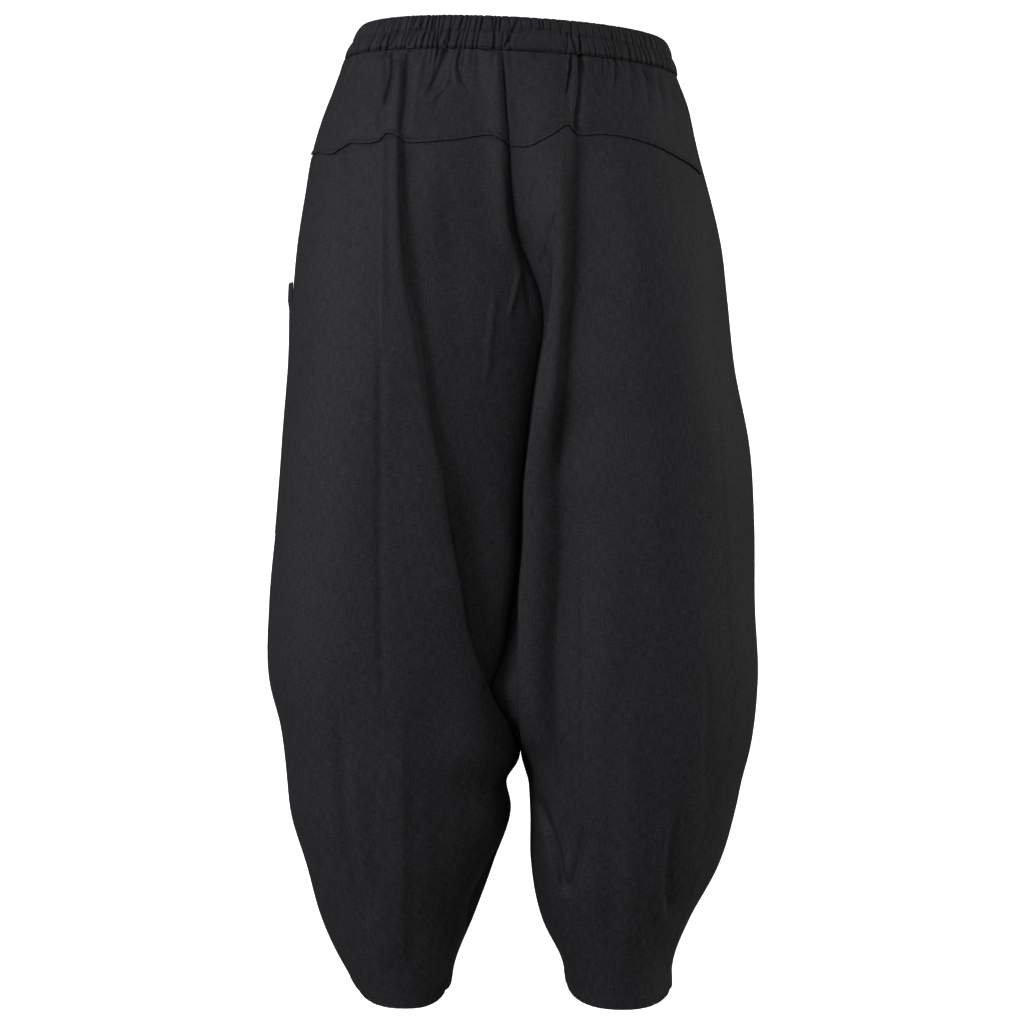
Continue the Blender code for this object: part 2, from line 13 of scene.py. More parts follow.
import bpy
import numpy as np
from bpy.types import ID, Material, Mesh, Node, NodeSocket, NodeTree, Object
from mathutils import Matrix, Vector


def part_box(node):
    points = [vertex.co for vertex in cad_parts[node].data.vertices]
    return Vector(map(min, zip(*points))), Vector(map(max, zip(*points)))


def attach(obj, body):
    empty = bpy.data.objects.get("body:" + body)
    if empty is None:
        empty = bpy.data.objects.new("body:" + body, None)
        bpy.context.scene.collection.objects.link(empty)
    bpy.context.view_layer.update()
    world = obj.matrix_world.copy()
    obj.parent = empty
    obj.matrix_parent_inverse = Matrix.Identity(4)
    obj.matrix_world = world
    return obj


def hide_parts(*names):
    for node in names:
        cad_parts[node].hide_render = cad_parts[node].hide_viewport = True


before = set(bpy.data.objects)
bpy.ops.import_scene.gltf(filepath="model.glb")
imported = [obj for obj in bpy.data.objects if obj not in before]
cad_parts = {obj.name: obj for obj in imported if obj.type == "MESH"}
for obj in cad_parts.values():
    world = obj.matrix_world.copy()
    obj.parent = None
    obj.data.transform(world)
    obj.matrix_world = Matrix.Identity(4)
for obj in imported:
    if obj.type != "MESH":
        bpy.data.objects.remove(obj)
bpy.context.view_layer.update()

LOG = logging.getLogger("trousers")
MM = 0.001
BODY = "root"


class Side(Enum):
    """Which leg, with the direction of its outer side along X."""

    LEFT = -1
    RIGHT = 1


class Face(Enum):
    """Which face of the garment, with its direction along Y."""

    BACK = -1
    FRONT = 1


class Edge(Enum):
    """An edge of a cut panel."""

    TOP = "top"
    BOTTOM = "bottom"
    CENTRE = "centre"
    SIDE = "side"


ACROSS_EDGES = (Edge.TOP, Edge.BOTTOM)
FAR_EDGES = (Edge.BOTTOM, Edge.SIDE)


class Sewn(Enum):
    """How an edge is sewn."""

    RAISED = "doubled and topstitched"
    TUCKED = "tucked under its neighbour"
    HEM = "turned up and stitched"
    RIDGE = "pressed open over its allowance"
    DIP = "drawn in at the centre seam"


class Held(Enum):
    """How a sheet's cloth is held."""

    DRAPED = "draped"
    GATHERED = "gathered"


class Slot(Enum):
    """The record's material slots."""

    CLOTH = "woven_cloth"
    BAND = "waistband_cloth"


# ------------ Tables and the mathematics of the forms ------------


def ease(value: np.ndarray) -> np.ndarray:
    """Smooth step from 0 to 1."""
    value = np.clip(value, 0.0, 1.0)
    return value * value * (3.0 - 2.0 * value)


def bell(offset: np.ndarray, width: float | np.ndarray) -> np.ndarray:
    """Soft bump of height 1 that is down to a third at the width."""
    return np.exp(-((offset / width) ** 2))


def smoothed(values: np.ndarray) -> np.ndarray:
    """Values smoothed once along their first axis, with both ends held."""
    inner = (values[:-2] + 2.0 * values[1:-1] + values[2:]) / 4.0
    return np.concatenate((values[:1], inner, values[-1:]))


def smooth_through(knots: np.ndarray, values: np.ndarray, wanted: np.ndarray) -> np.ndarray:
    """Cubic curve through the knots, with the slope at each from its neighbours.

    Args:
        knots: Places along the curve, in any order.
        values: The curve's value at each knot.
        wanted: Places to read the curve at, held within the knots.

    Returns:
        The curve's value at each wanted place.
    """
    order = np.argsort(knots)
    knots = knots[order]
    values = values[order]
    steps = np.diff(knots)
    slopes = np.diff(values) / steps
    inner = (slopes[:-1] * steps[1:] + slopes[1:] * steps[:-1]) / (steps[1:] + steps[:-1])
    tangents = np.concatenate(([slopes[0]], inner, [slopes[-1]]))
    wanted = np.clip(wanted, knots[0], knots[-1])
    piece = np.clip(np.searchsorted(knots, wanted, side="right") - 1, 0, len(steps) - 1)
    width = steps[piece]
    t = (wanted - knots[piece]) / width
    start = values[piece] * (2 * t**3 - 3 * t**2 + 1) + values[piece + 1] * (3 * t**2 - 2 * t**3)
    bend = tangents[piece] * (t**3 - 2 * t**2 + t) + tangents[piece + 1] * (t**3 - t**2)
    return start + bend * width


def read_line(wanted: float | np.ndarray, lengths: np.ndarray, values: np.ndarray) -> np.ndarray:
    """Reads every column of a line's values at the wanted places along it.

    Args:
        wanted: One place or more.
        lengths: Place of each row of the values, rising.
        values: The line's values, rows by columns.

    Returns:
        The columns' values at each wanted place.
    """
    return np.stack([np.interp(wanted, lengths, column) for column in values.T], axis=-1)


def lengths_along(line: np.ndarray) -> np.ndarray:
    """Length along a line of points, from its first point to each."""
    return np.concatenate(([0.0], np.cumsum(np.linalg.norm(np.diff(line, axis=0), axis=1))))


def evenly(line: np.ndarray, count: int) -> np.ndarray:
    """The same line again, as this number of even steps along its length."""
    lengths = lengths_along(line)
    return read_line(np.linspace(0.0, lengths[-1], count + 1), lengths, line)


@dataclass(frozen=True)
class Table:
    """A short table of sizes with named columns, read smoothly along its first column."""

    columns: tuple[str, ...]
    rows: tuple[tuple[float, ...], ...]

    def column(self, name: str) -> np.ndarray:
        """One named column."""
        place = self.columns.index(name)
        return np.array([row[place] for row in self.rows], dtype=float)

    def read(self, name: str, wanted: np.ndarray) -> np.ndarray:
        """A named column at the wanted places along the first column."""
        return smooth_through(self.column(self.columns[0]), self.column(name), wanted)

    def read_all(self, wanted: np.ndarray) -> dict[str, np.ndarray]:
        """Every column but the first at the wanted places."""
        return {name: self.read(name, wanted) for name in self.columns[1:]}


# The rounded tube of each leg by height: its widest points, the point that stands farthest back
# and front, the turn of the side seam towards the back in degrees, and how square the corner
# between the legs is, 2 being an ellipse.
TUBE_COLUMNS = ("height", "outer", "crown", "inner", "seam", "corner")
LEFT_TUBE = Table(TUBE_COLUMNS, (
    (16, -142, 0, 145, 8, 2.2),
    (-16, -158, -4, 150, 8, 2.2),
    (-45, -172, -16, 150, 9, 2.25),
    (-97, -189, -38, 135, 10, 2.3),
    (-140, -196, -58, 116, 11, 2.3),
    (-188, -203, -77, 92, 13, 2.35),
    (-235, -207, -92, 68, 14, 2.35),
    (-300, -210, -105, 45, 15, 2.35),
    (-375, -216, -112, 26, 16, 2.35),
    (-444, -222, -115, 17, 15, 2.35),
    (-520, -229, -116, 12, 12, 2.5),
    (-596, -229, -117, 10, 12, 2.7),
    (-638, -219, -112, 9, 12, 2.9),
    (-659, -216, -108, 8, 12, 3.0),
    (-688, -213, -106, -5, 12, 3.1),
    (-716, -210, -105, -1, 12, 3.1),
    (-767, -195, -104, -17, 11, 3.0),
    (-821, -179, -106, -37, 9, 2.6),
    (-860, -162, -106, -53, 7, 2.3),
    (-900, -139, -101, -61, 6, 2.1),
))
RIGHT_TUBE = Table(TUBE_COLUMNS, (
    (16, 145, 0, -145, 9, 2.2),
    (-16, 156, 4, -150, 12, 2.2),
    (-45, 165, 16, -150, 15, 2.25),
    (-97, 177, 38, -135, 20, 2.4),
    (-140, 188, 58, -108, 24, 2.6),
    (-188, 198, 77, -72, 29, 2.8),
    (-235, 203, 92, -45, 34, 3.0),
    (-300, 210, 105, -40, 41, 3.2),
    (-375, 225, 111, -40, 48, 3.4),
    (-444, 229, 114, -38, 48, 3.5),
    (-520, 230, 116, -34, 46, 3.5),
    (-596, 233, 117, -26, 44, 3.5),
    (-638, 229, 116, -6, 43, 3.4),
    (-659, 225, 115, 9, 43, 3.4),
    (-688, 217, 114, 15, 45, 3.3),
    (-716, 211, 112, 17, 48, 3.2),
    (-767, 197, 106, 18, 46, 2.9),
    (-821, 168, 100, 29, 36, 2.5),
    (-860, 153, 99, 47, 28, 2.3),
    (-900, 151, 101, 54, 20, 2.1),
))

# How far the back and front stand from the side line, and how square the corners are.
DEPTH = Table(("height", "back", "front", "square"), (
    (16, 102, 102, 2.2),
    (-16, 106, 105, 2.2),
    (-45, 112, 108, 2.25),
    (-97, 121, 113, 2.3),
    (-140, 128, 116, 2.35),
    (-188, 131, 118, 2.4),
    (-300, 132, 120, 2.4),
    (-444, 129, 122, 2.35),
    (-596, 124, 124, 2.3),
    (-659, 120, 122, 2.3),
    (-716, 113, 114, 2.25),
    (-767, 103, 102, 2.2),
    (-821, 88, 86, 2.1),
    (-860, 78, 76, 2.0),
    (-900, 70, 69, 2.0),
))

# The centre seams, where the left and right cloth meet, down to the crotch.
VALLEY_COLUMNS = ("height", "across", "depth")
BACK_VALLEY = Table(VALLEY_COLUMNS, (
    (16, -8, -101),
    (-16, -8, -102),
    (-60, -6, -107),
    (-97, -3, -112),
    (-153, 0, -111),
    (-190, 6, -106),
    (-214, 16, -103),
    (-240, 26, -100),
    (-274, 28, -97),
    (-300, 23, -94),
    (-360, 14, -86),
    (-400, 10, -78),
    (-435, 7, -70),
    (-500, 3, -60),
    (-530, -2, -58),
    (-553, -5, -58),
    (-583, -13, -60),
    (-597, -19, -61),
    (-612, -16, -58),
    (-630, -8, -45),
    (-648, 2, -20),
    (-659, 8, 0),
))
FRONT_VALLEY = Table(VALLEY_COLUMNS, (
    (16, 0, 102),
    (-16, 0, 104),
    (-97, 0, 111),
    (-200, -2, 110),
    (-300, -3, 98),
    (-400, -2, 79),
    (-500, 0, 56),
    (-600, 4, 26),
    (-630, 6, 13),
    (-659, 8, 0),
))

# The long folds beside the centre seams: "edge" is where the leg's cloth turns in, "beyond" how
# far its foot lies towards the centre, "step" the foot's depth as a part of the way from the
# edge to the seam, "lip" how far the cloth between foot and seam bulges out, and "lip_at" the
# part of the way from the seam at which it bulges most.
FOLD_COLUMNS = ("height", "edge", "beyond", "step", "lip", "lip_at")
BACK_LEFT_FOLD = Table(FOLD_COLUMNS, (
    (16, -100, 10, 0.02, 3, 0.14),
    (-97, -104, 10, 0.10, 4, 0.10),
    (-170, -100, 9, 0.14, 6, 0.09),
    (-200, -97, 7, 0.16, 8, 0.16),
    (-245, -87, 5, 0.18, 10, 0.26),
    (-300, -79, 1, 0.20, 11, 0.28),
    (-358, -72, -3, 0.20, 15, 0.24),
    (-400, -66, -4, 0.20, 18, 0.18),
    (-435, -62, -5, 0.22, 21, 0.14),
    (-489, -52, -6, 0.26, 24, 0.11),
    (-551, -37, -6, 0.36, 18, 0.14),
    (-590, -22, -4, 0.50, 6, 0.20),
    (-604, -17, -3, 0.55, 3, 0.20),
    (-640, 0, -3, 0.60, 2, 0.14),
    (-659, 4, -1, 0.62, 2, 0.14),
))
BACK_RIGHT_FOLD = Table(FOLD_COLUMNS, (
    (16, 34, 10, 0.05, 2, 0.14),
    (-97, 36, 10, 0.15, 2, 0.14),
    (-150, 37, 9, 0.22, 2, 0.14),
    (-197, 37, 7, 0.32, 2, 0.14),
    (-214, 37, 3, 0.40, 2, 0.14),
    (-231, 36, 1, 0.50, 2, 0.14),
    (-274, 31, 0, 0.70, 2, 0.14),
    (-299, 26, -1, 0.75, 1, 0.14),
    (-359, 17, -1, 0.75, 1, 0.14),
    (-409, 11, -1, 0.75, 2, 0.14),
    (-466, 10, -1, 0.75, 2, 0.14),
    (-510, 6, -1, 0.70, 2, 0.14),
    (-551, 5, -2, 0.60, 2, 0.14),
    (-580, 4, -2, 0.40, 4, 0.20),
    (-604, 5, -1, 0.32, 8, 0.20),
    (-630, 7, 0, 0.36, 8, 0.20),
    (-648, 9, 0, 0.50, 4, 0.20),
    (-659, 11, 0, 0.65, 2, 0.14),
))
FRONT_LEFT_FOLD = Table(FOLD_COLUMNS, (
    (16, -58, 12, 0.05, 2, 0.14),
    (-97, -60, 12, 0.10, 2, 0.14),
    (-200, -60, 11, 0.16, 3, 0.14),
    (-300, -55, 8, 0.24, 6, 0.14),
    (-400, -47, 5, 0.34, 9, 0.14),
    (-500, -34, 3, 0.44, 10, 0.14),
    (-600, -12, 1, 0.55, 6, 0.14),
    (-659, 3, 0, 0.62, 2, 0.14),
))
FRONT_RIGHT_FOLD = Table(FOLD_COLUMNS, (
    (16, 64, 12, 0.05, 2, 0.14),
    (-97, 66, 12, 0.12, 2, 0.14),
    (-200, 62, 10, 0.20, 2, 0.14),
    (-300, 51, 6, 0.32, 2, 0.14),
    (-400, 38, 2, 0.42, 2, 0.14),
    (-500, 25, 0, 0.50, 2, 0.14),
    (-600, 12, 0, 0.58, 2, 0.14),
    (-659, 12, 0, 0.62, 2, 0.14),
))
YOKE_SEAM = Table(("across", "height"), (
    (-200, -99), (-178, -103), (-167, -107), (-160, -106), (-153, -102), (-149, -99.5), (-138, -100.5),
    (-127, -100.5), (-120, -98.5), (-115, -93), (-108, -93), (-98, -99), (-83, -100.5), (-47, -98.5),
    (-29, -95.5), (-18, -95), (-11, -98), (-4, -103.5), (7, -105.5), (18, -104.5), (27, -100),
    (37, -95), (46, -88.5), (52, -87), (57, -91.5), (62, -93), (81, -93), (104, -96), (122, -100),
    (142, -106.5), (162, -115.5), (175, -123), (190, -131),
))


@dataclass(frozen=True)
class Fold:
    """One fold of the cloth.

    It follows a path of (across, height) points from top to bottom. A positive rise makes a ridge
    and a negative one a trough. A small softness on one side makes that side a sharp drop.
    """

    path: tuple[tuple[float, float], ...]
    left: float
    right: float
    rise: float
    starts: float = 0.01
    ends: float = 40.0

    def middle(self, height: np.ndarray) -> np.ndarray:
        """Across place of the fold at each height."""
        places = np.array(self.path, dtype=float)
        return smooth_through(places[:, 1], places[:, 0], height)

    def strength(self, height: np.ndarray) -> np.ndarray:
        """How much of the fold there is at each height, from 0 to 1.

        Args:
            height: Heights to read the fold at.

        Returns:
            A share for each height.
        """
        heights = [point[1] for point in self.path]
        top = ease((max(heights) - height) / self.starts)
        return top * ease((height - min(heights)) / self.ends)

    def lift(self, across: np.ndarray, height: np.ndarray) -> np.ndarray:
        """How far the fold lifts the cloth at each point.

        Args:
            across: Place of each point along X.
            height: Height of each point.

        Returns:
            The lift of each point.
        """
        middle = self.middle(height)
        slope = self.middle(height + 1.0) - middle
        offset = (across - middle) / np.sqrt(1.0 + slope**2)
        width = np.where(offset < 0.0, self.left, self.right)
        return self.rise * self.strength(height) * bell(offset, width)


# Where a stepped edge's ridge stands back from its steepest line, in widths of the drop, and how
# softly its trough begins, as a part of its distance from that line.
STEP_BACK = 0.75
STEP_SOFT = 0.8


def step(
    path: tuple[tuple[float, float], ...],
    left: float,
    rise: float,
    fall: float,
    right: float,
    drop: float,
    starts: float,
    ends: float,
    crisp: float = 1.7,
) -> tuple[Fold, Fold]:
    """A fold edge: a ridge that drops crisply to the right, into a softer trough.

    Args:
        path: The steepest line of the edge, (across, height) from top to bottom.
        left: How softly the cloth rises on the left.
        rise: Height of the ridge.
        fall: How far to the right of the edge the trough is deepest.
        right: How softly the cloth comes level again on the right.
        drop: Depth of the trough.
        starts: Length over which the edge begins at the top.
        ends: Length over which it fades at the bottom.
        crisp: How sharply the ridge drops.

    Returns:
        The ridge and the trough.
    """
    ridge = tuple((across - crisp * STEP_BACK, height) for across, height in path)
    trough = tuple((across + fall, height) for across, height in path)
    return (
        Fold(ridge, left, crisp, rise, starts, ends),
        Fold(trough, fall * STEP_SOFT, right, -drop, starts, ends),
    )


# Folds of the back, from the waist down and from the wearer's left to right. The columns are
# Fold's own fields: the path, how softly each side falls away, the rise, and the lengths over
# which the fold starts and ends.
BACK_FOLDS = (
    # Pleats and gathers of the yoke, left of the centre.
    Fold(((-111, -14), (-110, -31), (-112, -44), (-115, -58), (-117, -72)), 1.5, 2.6, -3.0, 0.01, 16),
    Fold(((-120, -14), (-118, -44), (-122, -72)), 5.0, 2.5, 1.6, 6, 30),
    Fold(((-95, -14), (-96, -42), (-97, -60), (-101, -96)), 2.6, 5.5, -3.0, 0.01, 12),
    Fold(((-103, -20), (-104, -60), (-108, -94)), 5.0, 3.0, 1.6, 8, 20),
    Fold(((-84, -16), (-86, -60)), 6.0, 5.0, 1.2, 8, 30),
    Fold(((-61, -16), (-68, -37), (-73, -49), (-78, -60)), 2.4, 3.6, -2.8, 0.01, 14),
    Fold(((-57, -40), (-63, -52), (-70, -60)), 1.6, 2.0, 1.6, 6, 6),
    Fold(((-58, -44), (-66, -58), (-71, -74)), 3.0, 3.6, -1.5, 8, 14),
    Fold(((-46, -15), (-49, -30), (-46, -42), (-36, -60)), 1.2, 2.8, -1.4, 0.01, 20),
    Fold(((-50, -15), (-52, -34), (-48, -54)), 2.0, 1.4, 1.0, 2, 16),
    Fold(((-30, -15), (-31, -34), (-29, -60)), 2.6, 3.4, -1.1, 0.01, 26),
    # The pleat over the centre seam, left of the flat panel, and its run into the leg.
    Fold(((-15, -12), (-12, -44), (-11, -70), (-9, -100)), 11, 3.4, 3.6, 0.01, 12),
    Fold(((-9, -94), (-7, -153), (-2, -190), (6, -216)), 11, 3.4, 3.8, 10, 34),
    Fold(((5, -40), (6, -100), (8, -153), (14, -190), (22, -222)), 9.0, 14, -2.0, 30, 34),
    Fold(((3, -178), (6, -207), (9, -246)), 5.0, 3.0, 1.0, 18, 26),
    Fold(((9, -170), (11, -207), (14, -235), (18, -270)), 2.6, 5.0, -1.3, 18, 26),
    # Pressed lines of the left yoke and leg.
    Fold(((-125, -44), (-126, -72), (-125, -95)), 1.0, 4.0, 1.5, 10, 10),
    Fold(((-147, -26), (-149, -95)), 1.0, 5.0, 1.5, 14, 12),
    Fold(((-157, -80), (-160, -126)), 1.0, 4.0, 1.3, 12, 16),
    Fold(((-160, -106), (-163, -176)), 0.8, 5.0, 1.9, 3, 40),
    Fold(((-155, -106), (-157, -163)), 0.8, 3.4, 1.7, 3, 30),
    Fold(((-152, -104), (-155, -204), (-158, -246)), 0.8, 6.0, 2.0, 3, 60),
    Fold(((-117, -95), (-117, -200), (-117, -300)), 0.8, 5.0, 2.2, 2, 110),
    Fold(((-118, -270), (-119, -400), (-119, -526), (-117, -593), (-113, -632)), 3.4, 5.0, -1.5, 50, 60),
    *step(((-103, -80), (-102, -150), (-98, -215), (-91, -262), (-84, -300)), 12, 2.4, 7, 18, 6.5, 40, 90),
    Fold(
        ((-94, -230), (-88, -285), (-79, -343), (-72, -380), (-65, -416), (-57, -461), (-49, -507),
         (-36, -552)),
        32, 2.6, 4.0, 70, 50,
    ),
    # The outer left leg.
    Fold(((-206, -240), (-208, -285), (-210, -360), (-213, -448)), 2.0, 2.5, -1.0, 8, 14),
    Fold(((-204, -570), (-210, -608)), 2.5, 3.5, -1.1, 14, 14),
    Fold(((-202, -573), (-202, -672)), 2.5, 2.5, -0.9, 20, 30),
    Fold(((-176, -300), (-182, -420), (-180, -540)), 16, 16, -1.6, 60, 80),
    Fold(((-156, -600), (-155, -666), (-152, -710), (-147, -752), (-131, -815)), 8.0, 7.0, -3.2, 60, 24),
    Fold(((-143, -640), (-139, -720), (-132, -790)), 6.0, 9.0, 1.6, 40, 40),
    Fold(((-136, -780), (-132, -822)), 2.0, 2.0, -1.0, 12, 12),
    Fold(((-100, -620), (-99, -740), (-102, -860)), 22, 6.0, 4.6, 60, 30),
    Fold(
        ((-74, -570), (-72, -620), (-68, -680), (-64, -740), (-60, -800), (-58, -850)),
        20, 20, -6.0, 80, 50,
    ),
    Fold(((-40, -640), (-36, -700), (-32, -760), (-30, -850)), 26, 20, -8.5, 60, 50),
    Fold(((-14, -676), (-18, -712)), 3.0, 3.0, 1.2, 12, 16),
    # The cloth between the legs.
    Fold(((-62, -118), (-54, -220), (-40, -330)), 10, 12, -1.4, 20, 70),
    Fold(((7, -216), (2, -240), (-4, -266)), 1.8, 2.4, 1.6, 12, 16),
    Fold(((-14, -230), (-20, -280), (-24, -330)), 3.0, 3.4, 1.3, 20, 30),
    Fold(((38, -162), (30, -190), (20, -216)), 1.6, 2.4, 2.4, 12, 14),
    # The flat centre panel and the pair of pleats right of it.
    Fold(((51, -12), (51, -26), (51, -38)), 1.2, 1.2, 1.6, 0.01, 10),
    Fold(((54.2, -13), (54, -28), (52, -42), (49, -64)), 1.1, 1.3, -2.4, 1, 16),
    Fold(((57.6, -13), (57, -36), (55, -60), (54, -80)), 1.3, 1.3, 1.8, 1, 10),
    Fold(((61.4, -14), (61, -40), (60.6, -56), (58, -76), (56.4, -91)), 1.2, 5.5, -4.6, 1, 2),
    *step(
        ((54.5, -70), (52, -100), (50, -129), (49.5, -161), (49.5, -199), (48, -232), (45, -270),
         (42, -308), (38.5, -345), (35, -385), (34, -420)),
        10, 3.0, 8.5, 32, 10.5, 44, 80,
    ),
    Fold(
        ((48, -310), (44, -400), (45, -461), (43, -507), (40, -552), (39, -600), (39, -660), (43, -720),
         (48, -800)),
        14, 34, -12.5, 80, 70,
    ),
    Fold(((63, -470), (64, -560), (63, -680), (64, -760)), 4.0, 3.0, -1.3, 50, 50),
    # Gathers of the right yoke.
    Fold(((75, -16), (74, -34), (70, -56)), 2.2, 3.0, -0.9, 1, 20),
    Fold(((83, -14), (83, -30), (82, -42)), 1.3, 1.8, -2.0, 0.01, 10),
    Fold(((91, -15), (91, -32), (88, -46), (80, -62)), 1.4, 2.2, 1.5, 1, 14),
    Fold(((94, -15), (94, -40), (90, -60)), 1.6, 2.4, -1.5, 0.01, 16),
    Fold(((102, -18), (105, -50)), 2.4, 2.4, 1.0, 4, 16),
    Fold(((108, -18), (110, -44), (111, -70)), 2.6, 3.6, -1.6, 4, 20),
    Fold(((116, -18), (119, -50)), 2.0, 2.4, 0.9, 4, 16),
    Fold(((121, -20), (124, -44), (125, -76)), 2.6, 3.4, -1.5, 4, 24),
    Fold(((129, -22), (132, -56)), 2.0, 2.4, 0.9, 4, 18),
    Fold(((134, -24), (138, -50), (140, -76)), 2.6, 3.4, -1.3, 6, 22),
    Fold(((146, -30), (150, -62), (152, -92)), 3.0, 4.0, -1.1, 8, 24),
    # The right leg.
    Fold(((84, -520), (84, -620), (84, -720)), 12, 14, 1.0, 60, 60),
    Fold(((17, -426), (17, -446)), 1.4, 1.6, 0.9, 6, 10),
    Fold(((96, -130), (92, -300), (84, -480)), 20, 22, -1.4, 60, 120),
    Fold(((132, -330), (136, -480), (140, -600)), 16, 18, 1.6, 80, 90),
    Fold(((145, -484), (145, -562), (154, -616)), 4.0, 7.0, -1.4, 30, 30),
    Fold(((176, -566), (177, -620), (176, -684)), 4.0, 6.0, -1.3, 30, 34),
    Fold(((18, -690), (29, -733), (37, -760), (46, -790)), 2.2, 6.0, -5.4, 24, 14),
    Fold(((26, -700), (39, -745), (48, -780)), 3.0, 3.0, 2.0, 20, 16),
    Fold(((62, -720), (58, -758), (51, -790)), 6.0, 2.2, -4.6, 26, 10),
    Fold(((84, -600), (88, -720), (92, -850)), 11, 11, -2.0, 70, 40),
    Fold(((108, -560), (112, -700), (108, -850)), 12, 12, 1.8, 80, 40),
    Fold(((151, -700), (144, -747), (142, -781), (145, -818)), 2.6, 10, -4.0, 24, 30),
    Fold(((140, -700), (134, -760), (134, -820)), 8.0, 5.0, 1.6, 24, 24),
    Fold(((178, -640), (180, -700), (172, -770)), 8.0, 8.0, -1.6, 40, 40),
)

# Folds of the front: the same uneven kind, finished plainly.
FRONT_FOLDS = (
    Fold(((-112, -12), (-110, -50), (-114, -112), (-118, -190)), 5.0, 5.0, -3.0, 0.01, 60),
    Fold(((-84, -12), (-88, -44), (-86, -88)), 4.0, 5.0, -2.6, 0.01, 40),
    Fold(((-58, -12), (-60, -60), (-58, -150), (-50, -260)), 3.0, 8.0, -3.4, 0.01, 90),
    Fold(((-30, -12), (-33, -48), (-30, -84)), 4.0, 4.0, -2.4, 0.01, 34),
    Fold(((26, -12), (24, -40), (28, -76)), 4.0, 4.0, -2.4, 0.01, 30),
    Fold(((62, -12), (64, -70), (60, -170), (48, -290)), 8.0, 3.0, -3.6, 0.01, 90),
    Fold(((92, -14), (96, -50), (94, -104)), 5.0, 4.0, -2.8, 0.01, 44),
    Fold(((124, -16), (128, -60), (134, -120)), 5.0, 5.0, -2.6, 0.01, 44),
    Fold(((-146, -20), (-152, -90), (-158, -220)), 8.0, 9.0, -2.0, 10, 90),
    Fold(((-150, -420), (-156, -540), (-150, -660)), 13, 13, -2.2, 80, 80),
    Fold(((-96, -360), (-92, -500), (-86, -640)), 12, 14, -2.2, 90, 90),
    Fold(((-60, -520), (-76, -640), (-92, -770)), 8.0, 10, -2.8, 60, 70),
    Fold(((-126, -640), (-124, -740), (-116, -840)), 8.0, 10, 2.2, 60, 50),
    Fold(((86, -340), (90, -480), (86, -620)), 12, 14, -2.2, 90, 90),
    Fold(((146, -300), (152, -440), (150, -600)), 14, 14, -2.0, 90, 90),
    Fold(((46, -520), (66, -640), (86, -780)), 10, 8.0, -2.8, 60, 70),
    Fold(((122, -620), (124, -730), (116, -840)), 10, 8.0, 2.2, 60, 50),
    Fold(((170, -520), (172, -620), (160, -720)), 6.0, 8.0, -2.0, 50, 60),
)


